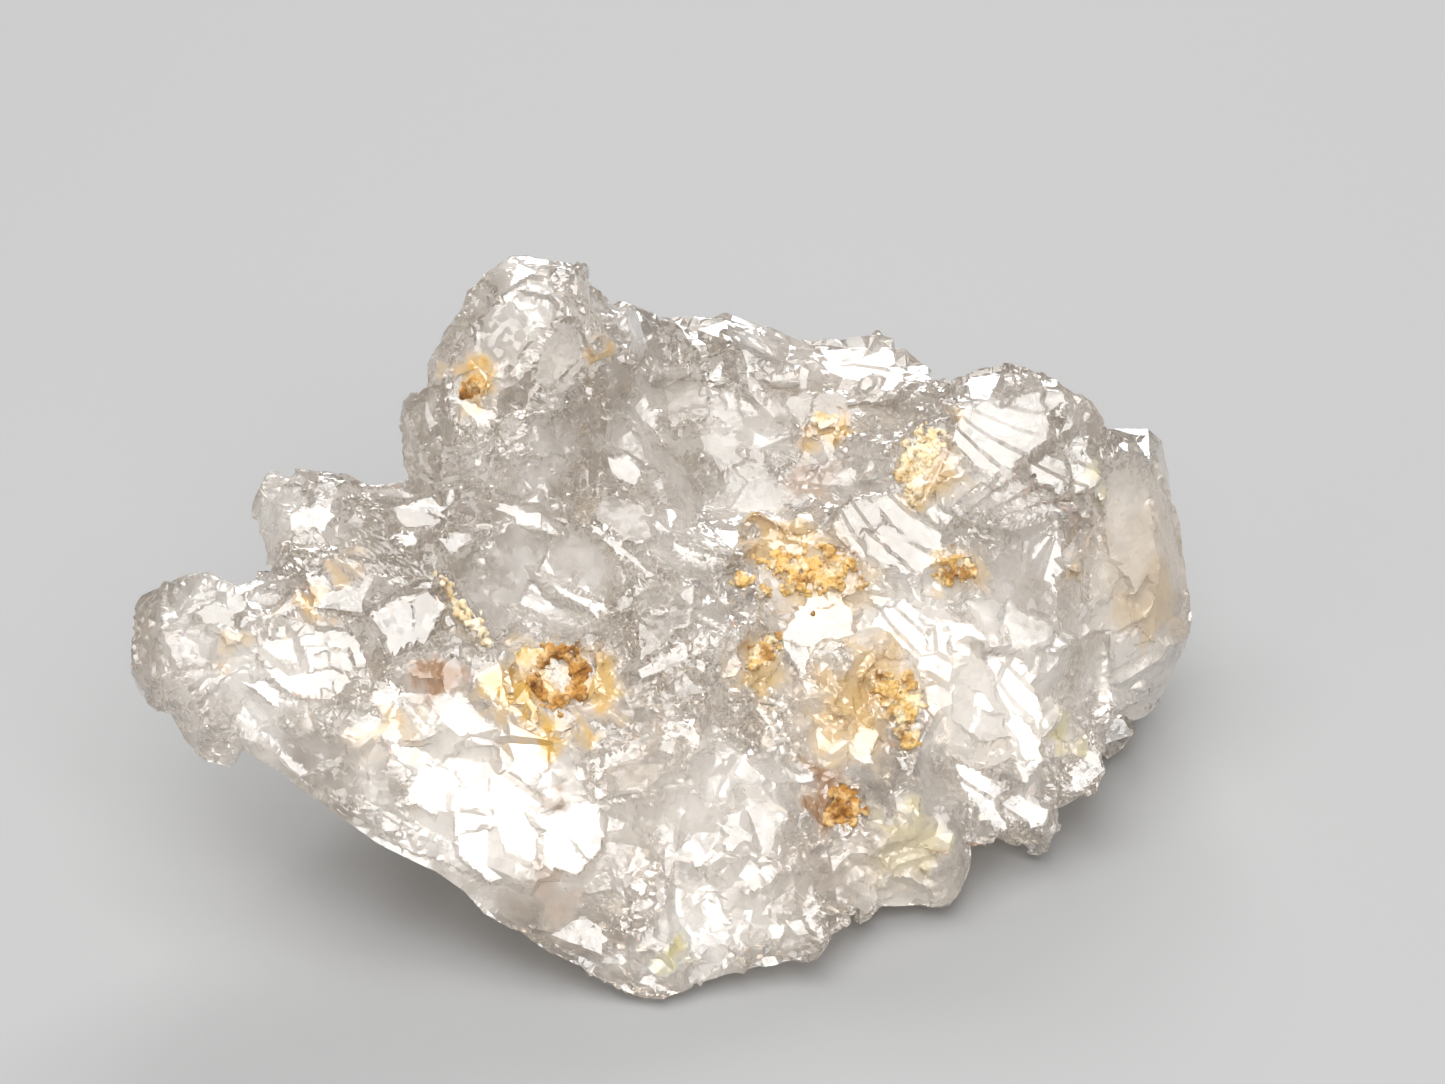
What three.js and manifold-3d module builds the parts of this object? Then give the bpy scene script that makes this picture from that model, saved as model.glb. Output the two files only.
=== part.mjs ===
// A goshenite specimen: one broken, naturally etched piece of water-clear beryl, with iron-stained clay
// lodged in its pits and seams. Units are millimetres and +Z is up. The piece leans back as it rests: its
// broad show face slopes SHOW_SLOPE from level and looks towards -Y. Shapes are laid out in the show face's
// own frame, with u to the right, v up the face and w out of it, and the whole is then leaned back and set
// down on Z = 0.
import * as THREE from "three";
import { ConvexGeometry } from "three/addons/geometries/ConvexGeometry.js";
import { mergeVertices } from "three/addons/utils/BufferGeometryUtils.js";
import Module from "manifold-3d";

const wasm = await Module();
wasm.setup();

// ---- Driving dimensions ----

const SHOW_SLOPE = THREE.MathUtils.degToRad(60);
const LIFT = 15.9; // how high the show face's origin stands above the surface that the piece rests on
const FLOOR_BLOCK = 120; // a block of this size, below the ground, levels the points that the piece rests on
const SHORTEST_EDGE = 0.2; // slivers that joins and cuts leave behind are closed up

// The rim, clockwise from the far left: the outline seen square to the show face, with its depth.
const RIM = [
  // the lobe at the far left
  [-23.6, -3.6, -2], [-22.9, -2.0, -2], [-21.6, -1.2, -2], [-20.4, -2.2, -2],
  // the block above it
  [-18.8, -2.0, -3], [-19.0, 0.4, -4], [-18.3, 2.6, -4], [-17.5, 3.1, -4], [-15.8, 2.2, -4],
  [-12.9, 2.0, -5],
  // the upright fin, the highest point
  [-13.3, 5.1, -5], [-12.0, 6.8, -5], [-11.5, 8.5, -5], [-10.0, 10.5, -5], [-8.2, 11.6, -5],
  [-6.4, 11.5, -5],
  [-5.1, 10.6, -8],
  // the ridge behind, along the top
  [-4.0, 9.6, -13], [-2.1, 9.6, -14], [0.1, 9.7, -14], [2.8, 8.6, -14], [6.7, 8.5, -14], [8.8, 7.4, -12],
  // the crest at the upper right
  [9.8, 6.9, -10], [12.3, 7.2, -9], [15.0, 6.2, -10], [16.0, 4.5, -12],
  // the column at the far right
  [18.3, 4.7, -13], [18.8, 3.0, -13], [19.3, -1.5, -13], [19.8, -3.3, -13], [19.0, -5.5, -14],
  [18.4, -7.2, -15],
  [17.3, -7.7, -15],
  // the spiked lobe at its foot
  [16.0, -8.4, -11], [16.1, -9.4, -8], [16.0, -10.3, -8], [13.7, -11.4, -8], [13.6, -12.5, -8],
  [10.7, -11.5, -7.5],
  [10.1, -11.2, -6.5],
  // the lower lobe
  [10.2, -12.4, -5], [10.0, -14.0, -5], [9.4, -14.6, -5], [6.0, -14.9, -4],
  // past the point that the piece rests on and the long straight edge, which breaks cut back
  [6.0, -15.2, -2.5], [5.0, -16.5, -1.6], [4.0, -18.2, -0.8], [-3.4, -20.4, 0], [-6.4, -20.0, 0.2],
  [-12.9, -15.8, 0.2], [-17.4, -12.2, 0.2], [-18.7, -9.1, -0.2], [-20.9, -8.6, -1.6], [-22.1, -7.0, -2],
  [-23.4, -5.3, -2],
];
// Landmarks of the show face, inside the rim.
const FACE = [
  [-8.6, 8.2, -3], [-6.4, 9.0, -3.6], [-10.8, 6.0, -3], [-9.9, 4.2, -4], [-6.2, 5.2, -5.5],
  [-12.5, 2.1, -5.5],
  [-15.7, -0.7, -0.6], [-17.3, 1.2, -1.8], [-11.8, -1.1, -2], [-12.6, -3.4, -1.2], [-7.1, -1.1, -5],
  [-9.0, 1.0, -4.6],
  [-4.3, 3.8, -7.6], [-0.1, 4.7, -10], [3.3, 3.9, -10], [6.2, 2.8, -9], [-1.8, 7.3, -11.6],
  [3.2, 6.8, -11.8],
  [7.4, 6.0, -10.8], [-0.9, 0.5, -5], [-4.0, -1.6, -3.6], [3.2, 0.6, -6.8], [6.5, 0.1, -6], [8.8, 2.6, -7],
  [11.5, 4.2, -6.2], [14.6, 3.0, -7.6], [17.6, -0.8, -9.8], [17.0, 2.6, -10.2], [17.2, -5.2, -11.4],
  [15.6, 0.8, -10], [12.6, 0.2, -7], [10.6, -5.7, -5.6], [13.6, -5.0, -7.4], [7.3, -6.5, -5],
  [9.4, -2.2, -6],
  [3.2, -1.6, -6.4], [-0.9, -4.0, -2.6], [-4.9, -6.4, -1.2], [-10.1, -6.3, 0.4], [-16.9, -5.1, 0.6],
  [-14.0, -7.6, 0.5], [-12.9, -10.3, 0.3], [-6.9, -12.3, 0.8], [-3.3, -16.3, 0.6], [1.1, -14.4, 0],
  [1.1, -10.4, -0.6],
  [5.2, -11.3, -2.4], [4.4, -6.5, -4.2], [-21.2, -4.7, 0.6], [8.4, -12.9, -3.4], [13.1, -10.3, -6.6],
  [-3.0, -9.4, 0.2], [-8.6, -9.2, 0.6],
];
// Landmarks of the back, which leans over the ground.
const BACK = [
  [-9.0, 8.0, -10], [-6.0, 9.5, -11], [-11.0, 4.0, -11], [-15.5, 0.0, -9.5], [-21.5, -4.5, -5.6],
  [-16.0, -6.5, -8],
  [-12.0, -10.0, -6.8], [-9.0, -7.6, -18.6], [-12.5, -3.0, -15], [-5.0, -14.0, -5], [0.0, -12.0, -9],
  [-2.0, -8.5, -16],
  [3.0, -5.0, -19], [-5.0, 4.0, -17], [0.0, 8.0, -19], [7.0, 6.0, -19.5], [12.5, 4.0, -18],
  [17.5, 2.0, -18.5],
  [16.6, -6.2, -21.4], [12.0, -6.0, -19], [8.0, -2.0, -21], [8.2, -13.0, -6.8], [13.0, -10.5, -10.6],
  [0.0, 0.0, -21],
  [6.0, -10.0, -12],
];

// Angular blocks of the same crystal that stand out of the body, each by its corners.
const BLOCKS = [
  // the lobe at the far left
  [
    [-23.7, -3.0, -2.2], [-22.9, -2.0, -2.4], [-21.9, -1.1, -2.6], [-21.2, -1.7, -1.4], [-23.7, -4.6, -1.8],
    [-22.2, -7.0, -1.6], [-21.0, -8.6, -1.4], [-18.9, -8.9, -1.0], [-22.2, -3.6, 0.0], [-20.6, -6.8, 0.7],
    [-18.6, -4.2, 0.6], [-18.8, -2.2, -0.8], [-22.0, -2.6, -4.6], [-21.6, -6.4, -4.8], [-18.2, -7.4, -5.4],
    [-17.6, -2.8, -6.0],
  ],
  // the horn and the ledge of the block above it
  [
    [-19.0, 0.4, -3.0], [-18.9, 1.4, -3.4], [-18.2, 2.7, -4.0], [-17.4, 3.1, -4.2], [-16.4, 2.6, -3.6],
    [-18.7, -0.9, -2.2], [-16.9, 0.9, -1.2], [-16.6, -1.6, -1.0], [-15.4, 1.2, -1.8], [-18.4, 0.8, -6.6],
    [-17.0, 2.2, -7.2], [-15.0, -1.2, -7.8],
  ],
  [
    [-17.4, 0.4, -1.2], [-16.6, 1.9, -2.6], [-13.4, 1.9, -4.4], [-11.2, 1.0, -3.0], [-10.8, -1.6, -1.4],
    [-13.6, -2.9, -0.4], [-16.4, -2.6, -0.2], [-16.8, -1.0, -0.2], [-14.4, 1.2, -8.0], [-11.2, -0.6, -9.0],
  ],
  // the upright fin
  [
    [-12.1, 7.0, -4.4], [-11.4, 8.6, -4.6], [-10.0, 10.4, -5.0], [-9.2, 11.4, -5.6], [-8.2, 11.8, -5.8],
    [-6.5, 11.6, -5.8], [-5.5, 10.9, -5.6], [-4.9, 9.4, -5.2], [-10.2, 8.6, -3.0], [-8.6, 10.2, -3.4],
    [-6.6, 9.8, -3.6], [-10.8, 4.6, -2.8], [-6.6, 6.2, -3.4], [-4.6, 6.8, -5.4], [-9.4, 10.4, -8.8],
    [-6.2, 10.4, -9.6], [-11.4, 7.0, -8.6], [-5.4, 6.0, -9.6], [-11.6, 4.4, -9.4],
  ],
  [
    [-13.3, 5.1, -4.4], [-12.9, 6.1, -4.6], [-13.2, 3.2, -4.2], [-12.6, 2.0, -4.8], [-11.6, 6.4, -3.4],
    [-11.8, 3.8, -2.8], [-9.6, 3.0, -3.6], [-9.6, 6.0, -3.0], [-12.6, 4.6, -7.8], [-11.0, 2.2, -8.4],
    [-9.0, 2.4, -4.4],
  ],
  // the ridge behind
  [
    [-4.8, 9.9, -11.0], [-3.4, 9.6, -13.0], [-1.2, 8.9, -13.6], [-3.4, 8.4, -10.6], [-1.0, 7.4, -11.2],
    [-4.4, 6.2, -9.6], [-3.6, 9.0, -17.0], [-1.4, 7.6, -17.6], [-4.4, 5.0, -13.0],
  ],
  [
    [-1.2, 9.3, -13.4], [0.2, 9.9, -14.0], [1.6, 9.4, -14.0], [3.6, 8.4, -14.2], [0.4, 8.6, -11.8],
    [3.2, 7.0, -11.4], [-1.0, 6.6, -11.4], [0.4, 8.8, -18.2], [3.6, 6.6, -18.6], [0.0, 4.6, -15.0],
  ],
  [
    [3.0, 8.4, -14.0], [5.4, 8.4, -14.0], [6.8, 8.7, -13.8], [7.8, 8.2, -13.0], [8.9, 7.3, -12.0],
    [5.0, 7.2, -11.6], [7.6, 6.4, -10.4], [4.0, 5.4, -10.8], [5.6, 7.8, -18.6], [8.6, 6.0, -17.6],
    [4.4, 4.0, -14.0],
  ],
  // the crest
  [
    [9.0, 6.2, -9.4], [10.2, 7.0, -9.4], [12.3, 7.3, -9.4], [13.6, 6.9, -9.6], [15.0, 6.2, -10.0],
    [15.8, 5.2, -10.6], [10.4, 5.4, -7.0], [12.6, 5.8, -7.2], [14.6, 4.4, -8.2], [11.0, 2.2, -6.0],
    [14.0, 1.6, -7.4], [9.0, 3.0, -7.6], [11.0, 5.6, -14.6], [15.0, 4.0, -15.0],
  ],
  // the column at the far right, set back
  [
    [16.3, 4.8, -12.4], [18.1, 4.8, -12.6], [18.7, 4.3, -12.8], [19.4, 0.4, -12.8], [19.7, -2.4, -13.2],
    [19.9, -3.4, -13.4], [19.2, -5.6, -14.4], [18.3, -7.3, -15.6], [16.2, 3.8, -10.8], [18.0, 3.4, -10.8],
    [18.4, -0.6, -10.6], [18.4, -4.6, -11.8], [16.4, -5.6, -10.8], [16.2, 0.4, -10.0], [16.0, -8.2, -15.0],
    [17.4, 3.8, -18.6], [19.0, -1.0, -18.6], [18.2, -5.6, -20.0],
  ],
  // its foot, out of sight behind, on which the piece rests
  [
    [13.4, -6.6, -21.4], [17.6, -5.8, -22.6], [18.6, -6.0, -20.4], [14.8, -8.6, -18.6], [18.0, -7.4, -18.0],
    [13.6, -3.0, -20.6], [18.4, -1.6, -19.6], [16.6, -2.4, -16.0], [14.0, -6.8, -15.0],
  ],
  // the spikes at its foot
  [
    [16.2, -9.2, -8.6], [16.0, -10.4, -8.4], [14.5, -10.9, -8.0], [13.4, -9.4, -6.4], [15.6, -8.0, -7.8],
    [14.0, -7.0, -6.8], [12.6, -8.2, -6.4], [15.4, -8.4, -12.4], [13.0, -8.6, -11.4], [13.2, -5.8, -10.0],
  ],
  [
    [13.7, -12.9, -8.2], [12.4, -12.5, -8.2], [10.4, -11.4, -7.8], [14.1, -10.9, -7.8], [12.4, -10.6, -6.2],
    [10.4, -9.6, -5.6], [13.0, -8.4, -6.0], [12.0, -10.0, -11.2], [13.4, -10.2, -11.0], [10.6, -8.0, -9.4],
  ],
  // the lobe left of them
  [
    [10.3, -12.2, -5.2], [10.1, -14.0, -5.0], [9.3, -14.8, -4.8], [7.0, -14.9, -4.4], [5.8, -14.8, -3.8],
    [9.2, -12.6, -3.4], [7.0, -13.2, -2.9], [9.8, -10.6, -5.0], [5.0, -12.0, -2.6], [9.0, -13.2, -7.2],
    [6.4, -13.0, -7.4], [7.6, -9.0, -7.6],
  ],
];
// Straight broken edges: the body is cut away below the line. `under` says how far the cut leans back beneath
// it, `deep` how far back it goes, and `beyond` how far it runs on past either end. It runs on further, by
// `trim`, where it cuts through the chips.
const BREAKS = [
  // hangs over the ground
  {
    from: [-18.6, -9.0, 0.3], to: [-5.2, -17.9, 1.0], under: 0.9, deep: 8, beyond: [0, 1.5],
    trim: [1, 0],
  },
  // the point that the piece rests on
  {
    from: [-5.2, -17.9, 1.0], to: [-3.4, -18.6, 0.9], under: 0.9, deep: 5, beyond: [1.5, 1.5],
    trim: [0, 0],
  },
  // runs on to the right
  {
    from: [-3.4, -18.6, 0.9], to: [3.9, -17.3, 0.0], under: 1.0, deep: 6, beyond: [1.5, 0.7],
    trim: [0, 1.6],
  },
];
const BREAK_HEIGHT = 20; // more than the body stands out on either side of a straight edge
const BREAK_MARGIN = 1.9; // no chip sits nearer to a straight edge
const BREAK_BACK = -3; // chips further back than this are clear of the straight edges
// Cleavage fans: ribs side by side, each turned a little, in degrees, from the last.
const FANS = [
  {
    at: [11.6, 3.6, -6.4], along: [-0.75, -0.55], step: [0.75, -0.5], length: 3.4, width: 0.95,
    count: 5, turn: -7,
  },
  {
    at: [15.0, 1.8, -8.2], along: [-0.5, -0.7], step: [0.6, -0.7], length: 2.6, width: 0.8,
    count: 3, turn: 6,
  },
  {
    at: [5.6, 0.5, -6.2], along: [0.8, -0.3], step: [0.35, -0.75], length: 3.2, width: 0.85,
    count: 5, turn: 6,
  },
];
// One rib of a fan, a long low wedge with a sharp back: each corner by its share of the length, its share
// of the width, and its height as a share of the width.
const RIB = [
  [0, -0.3, 0.1], [0, 0.4, 0.25], [0.15, 0.5, 0.4], [0.2, -0.5, 0], [0.9, -0.6, -0.1], [0.95, 0.5, 0.15],
  [1, 0, -0.2], [0.5, 0.5, 0.45], [0.2, 0, -2], [0.8, 0, -2],
];
const RIB_FALL = 0.12; // how far a rib falls along its length, as a share of it
const RIB_START = 0.6; // a rib starts this share of its width, and spreads to twice as much
// Flat facets cut into the show face: the middle, the way they face, and how far they reach.
const FACETS = [
  { at: [-15.6, -5.0, 0.5], facing: [-0.1, 0.35, 1], reach: 2.6 },
  { at: [-12.9, -3.4, -0.6], facing: [0.15, 0.45, 1], reach: 1.7 },
  { at: [-13.6, -8.0, 0.6], facing: [-0.1, 0.25, 1], reach: 3.0 },
  { at: [-9.6, -10.6, 0.7], facing: [-0.05, 0.3, 1], reach: 3.2 },
  { at: [4.6, -4.2, -4.6], facing: [0.1, 0.45, 1], reach: 2.0 },
  { at: [10.0, -4.4, -5.6], facing: [0.2, 0.35, 1], reach: 2.4 },
  { at: [12.0, -6.4, -6.6], facing: [0.45, 0.3, 1], reach: 2.2 },
  { at: [-16.0, 0.9, -1.6], facing: [0.0, 0.8, 1], reach: 1.4 },
  { at: [-12.4, 0.4, -2.6], facing: [0.1, 0.9, 1], reach: 1.3 },
  { at: [-8.6, 7.4, -3.2], facing: [-0.1, -0.1, 1], reach: 3.2 },
  { at: [17.4, -2.0, -10.7], facing: [0.3, -0.1, 1], reach: 2.6 },
];
// Shell-shaped hollows: middle of the ball that scooped them, and its radius.
const HOLLOWS = [
  { at: [-7.2, -0.8, -1.0], radius: 4.3 },
  { at: [1.4, 5.4, -3.6], radius: 6.2 },
  { at: [14.6, -0.6, -3.4], radius: 5.0 },
];
const GOLDEN = 0xc9983f;
const RUST = 0xa9682c;
const PALE = 0xd8b878;
// Clay lodged in pits and seams: middle in u and v, half its length and breadth, half its depth, its turn.
const CLAY = [
  { name: "clay_centre_pit", at: [3.4, -1.3], half: [2.2, 1.2], deep: 1.0, turn: -8, color: GOLDEN },
  { name: "clay_left_pit", at: [-6.7, -5.4], half: [1.7, 1.3], deep: 0.9, turn: 70, color: RUST },
  { name: "clay_top_vein", at: [8.2, 3.4], half: [1.9, 0.75], deep: 0.8, turn: 68, color: PALE },
  { name: "clay_right_pit", at: [9.3, -1.3], half: [1.0, 0.8], deep: 0.7, turn: 40, color: GOLDEN },
  { name: "clay_lower_right", at: [7.2, -6.5], half: [1.8, 0.95], deep: 0.8, turn: 105, color: GOLDEN },
  { name: "clay_lower_pit", at: [4.9, -10.7], half: [0.95, 0.75], deep: 0.7, turn: 90, color: RUST },
  { name: "clay_middle_crumb", at: [1.7, -4.4], half: [0.95, 0.65], deep: 0.6, turn: 60, color: GOLDEN },
  { name: "clay_small_crumb", at: [0.7, -1.5], half: [0.5, 0.45], deep: 0.5, turn: 0, color: GOLDEN },
  { name: "clay_left_seam", at: [-10.5, -2.9], half: [1.8, 0.42], deep: 0.5, turn: -52, color: PALE },
  { name: "clay_fin_pit", at: [-10.2, 6.3], half: [0.6, 0.5], deep: 0.5, turn: 40, color: RUST },
  { name: "clay_upper_crumb", at: [4.4, 5.0], half: [0.65, 0.5], deep: 0.5, turn: 10, color: PALE },
];
const CLAY_GAP = 0.3; // between clay and crystal
const CLAY_DEPTH = 0.45; // share of its half depth that the middle of a lump of clay lies below the surface
const CLAY_SWELL = [0.8, 1.14]; // least and most that a corner of a lump is thrown in or out
const CLAY_COARSE = [1, 0.7]; // a lump longer and broader than this gets more corners
const CLAY_SEED = 100;
const BOWL_RISE = 0.75; // share of the half depth that the bowl around a lump stands above the surface
const BOWL_GROWTH = 0.55; // share of the half breadth that the bowl is wider on every side
const BOWL_SEED = 50;

const MIDDLE = new THREE.Vector2(-1.5, -3.5); // in u and v; every point of the rim can be seen from here
const BODY_DETAIL = 8;
const BODY_JITTER = 0.28; // how far the corners of the body are thrown
const BODY_SPREAD = 0.9; // under 1, its corners crowd towards the rim
const ROUNDING = { shown: 7, hidden: 4, slope: 0.6 }; // how late and how steeply the body falls to its rim
const LANDMARK_BLUR = 0.15; // evens out the depth close to a landmark
const CRYSTAL_SEED = 11;
const HIDDEN = -0.35; // faces that look further back than this are on the hidden side
const CHIP_SPACING = { shown: 2.1, hidden: 4.2 };
const CHIP_SIZE = { shown: [0.9, 2.4], hidden: [1.5, 2.6] };
const CHIP_RARITY = 2.5; // over 1, big chips are rarer than small ones
const CHIP_SINK = { face: 0.36, rim: 0.62 }; // share of a chip's size that it sits below the surface
const CHIP_EDGEWAYS = 0.4; // chips whose seat is steeper than this are on the rim
const CHIP_NARROWEST = 0.55;
const CHIP_THICKNESS = 0.6;
const CHIP_TILT = 0.35; // radians either way
const CHIP_CORNERS = 9;
const CHIP_TRIES = 6000;
// Places that no chip covers: u, v and how far around.
const CALM = [[5.4, -16.0, 2.0], [-19.8, -9.0, 1.7], [-3.8, 10.0, 1.5]];
// A facet's outline: least and most turn from one corner to the next, in radians, and least and most reach.
const FACET_TURN = [0.7, 1.2];
const FACET_REACH = [0.75, 1.15];
const FACET_FLARE = 1.6; // how much wider the cut is at its open end
const FACET_OPEN = 3; // how far out that end is

// ---- Small tools ----

const FORWARD = new THREE.Vector3(0, 0, 1);
const TOUCHING = 1e-4; // corners this near to each other are one corner
const TURNED = 0.2; // a facet's normal, before and after, has to keep at least this cosine

function seededRandom(seed) {
  let state = seed;
  return () => {
    state = (state + 0x6d2b79f5) | 0;
    let t = Math.imul(state ^ (state >>> 15), 1 | state);
    t = (t + Math.imul(t ^ (t >>> 7), 61 | t)) ^ t;
    return ((t ^ (t >>> 14)) >>> 0) / 4294967296;
  };
}

const between = ([least, most], share) => least + (most - least) * share;

function bareGeometry(geometry) {
  const bare = geometry.clone();
  for (const name of ["normal", "uv"]) bare.deleteAttribute(name);
  return mergeVertices(bare, TOUCHING);
}

function solidOf(geometry) {
  const bare = bareGeometry(geometry);
  return new wasm.Manifold(
    new wasm.Mesh({
      numProp: 3,
      vertProperties: new Float32Array(bare.attributes.position.array),
      triVerts: new Uint32Array(bare.index.array),
    }),
  );
}

function geometryOf(solid) {
  const mesh = solid.getMesh();
  const corners = new Float32Array(mesh.vertProperties);
  const geometry = new THREE.BufferGeometry();
  geometry.setAttribute("position", new THREE.BufferAttribute(corners, 3));
  geometry.setIndex(new THREE.BufferAttribute(new Uint32Array(mesh.triVerts), 1));
  return geometry;
}

const hullOf = (points) => solidOf(new ConvexGeometry(points));
const vectors = (corners) => corners.map((c) => new THREE.Vector3(...c));

// The largest body of a solid: loose crumbs and bubbles sealed inside are left out.
const largestBody = (solid) => solid.decompose().reduce((a, b) => (b.volume() > a.volume() ? b : a));

// Closes edges shorter than `shortest`, the shortest first, wherever the surface stays closed and no facet
// turns over. A corner that is held stays where it is.
function withoutSlivers(geometry, shortest, isHeld) {
  const at = geometry.attributes.position;
  const points = [];
  for (let i = 0; i < at.count; i++) points.push(new THREE.Vector3().fromBufferAttribute(at, i));
  const facets = [];
  const around = points.map(() => new Set());
  for (let i = 0; i < geometry.index.count; i += 3) {
    const facet = [0, 1, 2].map((k) => geometry.index.getX(i + k));
    for (const corner of facet) around[corner].add(facets.length);
    facets.push(facet);
  }
  const neighbours = (i) => new Set([...around[i]].flatMap((f) => facets[f]).filter((j) => j !== i));
  const normalOf = (corners) => new THREE.Triangle(...corners).getNormal(new THREE.Vector3());
  const turnsOver = (from, other, to) =>
    [...around[from]].some((f) => {
      if (facets[f].includes(other)) return false;
      const before = normalOf(facets[f].map((j) => points[j]));
      const after = normalOf(facets[f].map((j) => (j === from ? to : points[j])));
      return before.dot(after) < TURNED;
    });
  for (let closed = 1; closed > 0; ) {
    closed = 0;
    const edges = [];
    around.forEach((own, a) => {
      if (!own.size) return;
      for (const b of neighbours(a)) {
        const length = points[a].distanceTo(points[b]);
        if (a < b && length < shortest) edges.push([length, a, b]);
      }
    });
    edges.sort((p, q) => p[0] - q[0]);
    for (const [, a, b] of edges) {
      if (!around[a].size || !around[b].size) continue;
      if (points[a].distanceTo(points[b]) >= shortest) continue;
      const nearA = neighbours(a);
      if (!nearA.has(b)) continue;
      if ([...neighbours(b)].filter((j) => nearA.has(j)).length !== 2) continue;
      const places = [points[a].clone().lerp(points[b], 0.5), points[a].clone(), points[b].clone()];
      const anyHeld = isHeld(points[a]) || isHeld(points[b]);
      const to = places.find((c) => (!anyHeld || isHeld(c)) && !turnsOver(a, b, c) && !turnsOver(b, a, c));
      if (!to) continue;
      points[a] = to;
      for (const f of [...around[b]]) {
        if (facets[f].includes(a)) {
          for (const corner of facets[f]) around[corner].delete(f);
          facets[f] = null;
        } else {
          facets[f] = facets[f].map((j) => (j === b ? a : j));
          around[a].add(f);
          around[b].delete(f);
        }
      }
      closed += 1;
    }
  }
  const tidy = new THREE.BufferGeometry().setFromPoints(points);
  tidy.setIndex(facets.filter(Boolean).flat());
  return mergeVertices(tidy, TOUCHING / 10);
}

// The depth at (u, v), smoothly blended from the landmarks around it.
function depthAt(landmarks, u, v) {
  let total = 0;
  let sum = 0;
  for (const [lu, lv, lw] of landmarks) {
    const weight = 1 / ((u - lu) ** 2 + (v - lv) ** 2 + LANDMARK_BLUR) ** 2;
    total += weight;
    sum += weight * lw;
  }
  return sum / total;
}

// ---- The body ----

// Where the ray from the middle in direction `angle` crosses the rim: its distance and its depth there.
function rimAt(angle) {
  const du = Math.cos(angle);
  const dv = Math.sin(angle);
  let far = 0;
  let depth = 0;
  RIM.forEach(([au, av, aw], i) => {
    const [bu, bv, bw] = RIM[(i + 1) % RIM.length];
    const eu = bu - au;
    const ev = bv - av;
    const cross = du * ev - dv * eu;
    if (Math.abs(cross) < 1e-9) return; // the ray runs alongside
    const along = ((au - MIDDLE.x) * ev - (av - MIDDLE.y) * eu) / cross;
    const share = ((au - MIDDLE.x) * dv - (av - MIDDLE.y) * du) / cross;
    if (share >= 0 && share <= 1 && along > far) {
      far = along;
      depth = aw + share * (bw - aw);
    }
  });
  return { far, depth };
}

// A geodesic sphere drawn out to the rim, the show face and the back.
function body(random) {
  const geometry = bareGeometry(new THREE.IcosahedronGeometry(1, BODY_DETAIL));
  const at = geometry.attributes.position;
  const p = new THREE.Vector3();
  for (let i = 0; i < at.count; i++) {
    p.fromBufferAttribute(at, i);
    const { far, depth } = rimAt(Math.atan2(p.y, p.x));
    const across = Math.min(1, Math.hypot(p.x, p.y));
    const spread = Math.asin(across) / (Math.PI / 2); // even steps from the pole to the rim
    const r = far * spread ** BODY_SPREAD;
    const u = MIDDLE.x + (across > 0 ? (r * p.x) / across : 0);
    const v = MIDDLE.y + (across > 0 ? (r * p.y) / across : 0);
    const [landmarks, late] = p.z > 0 ? [FACE, ROUNDING.shown] : [BACK, ROUNDING.hidden];
    const rounding = (1 - Math.min(1, r / far) ** late) ** ROUNDING.slope;
    const thrown = () => BODY_JITTER * (2 * random() - 1);
    const w = depth + (depthAt(landmarks, u, v) - depth) * rounding;
    at.setXYZ(i, u + thrown(), v + thrown(), w + thrown());
  }
  return geometry;
}

// ---- Chips: the small angular crystals and broken corners that cover the body ----

function chip(random, place, normal, size) {
  const tilt = () => CHIP_TILT * (2 * random() - 1);
  const turn = new THREE.Quaternion().setFromUnitVectors(FORWARD, normal);
  const tilted = new THREE.Euler(tilt(), tilt(), random() * 2 * Math.PI);
  turn.multiply(new THREE.Quaternion().setFromEuler(tilted));
  const narrow = CHIP_NARROWEST + (1 - CHIP_NARROWEST) * random();
  const points = [];
  while (points.length < CHIP_CORNERS) {
    const z = 2 * random() - 1;
    const a = 2 * Math.PI * random();
    const r = Math.sqrt(1 - z * z);
    const corner = new THREE.Vector3(r * Math.cos(a), narrow * r * Math.sin(a), CHIP_THICKNESS * z);
    points.push(corner.multiplyScalar(size).applyQuaternion(turn).add(place));
  }
  return hullOf(points);
}

// Points scattered over a surface, none closer to another than the spacing.
function scatter(geometry, random, spacingAt, tries) {
  const at = geometry.attributes.position;
  const index = geometry.index;
  const triangle = new THREE.Triangle();
  const setTriangle = (i) =>
    triangle.setFromAttributeAndIndices(at, index.getX(i), index.getX(i + 1), index.getX(i + 2));
  const faces = [];
  let area = 0;
  for (let i = 0; i < index.count; i += 3) {
    setTriangle(i);
    area += triangle.getArea();
    faces.push({ upTo: area, corner: i });
  }
  const kept = [];
  for (let n = 0; n < tries; n++) {
    const pick = random() * area;
    let low = 0;
    let high = faces.length - 1;
    while (low < high) {
      const half = (low + high) >> 1;
      if (faces[half].upTo < pick) low = half + 1;
      else high = half;
    }
    setTriangle(faces[low].corner);
    let s = random();
    let t = random();
    if (s + t > 1) [s, t] = [1 - s, 1 - t];
    const place = triangle.a.clone().multiplyScalar(1 - s - t);
    place.addScaledVector(triangle.b, s).addScaledVector(triangle.c, t);
    const normal = triangle.getNormal(new THREE.Vector3());
    const spacing = spacingAt(place, normal);
    if (kept.every((k) => k.place.distanceTo(place) > spacing)) kept.push({ place, normal });
  }
  return kept;
}

// ---- Cuts and ribs ----

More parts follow.
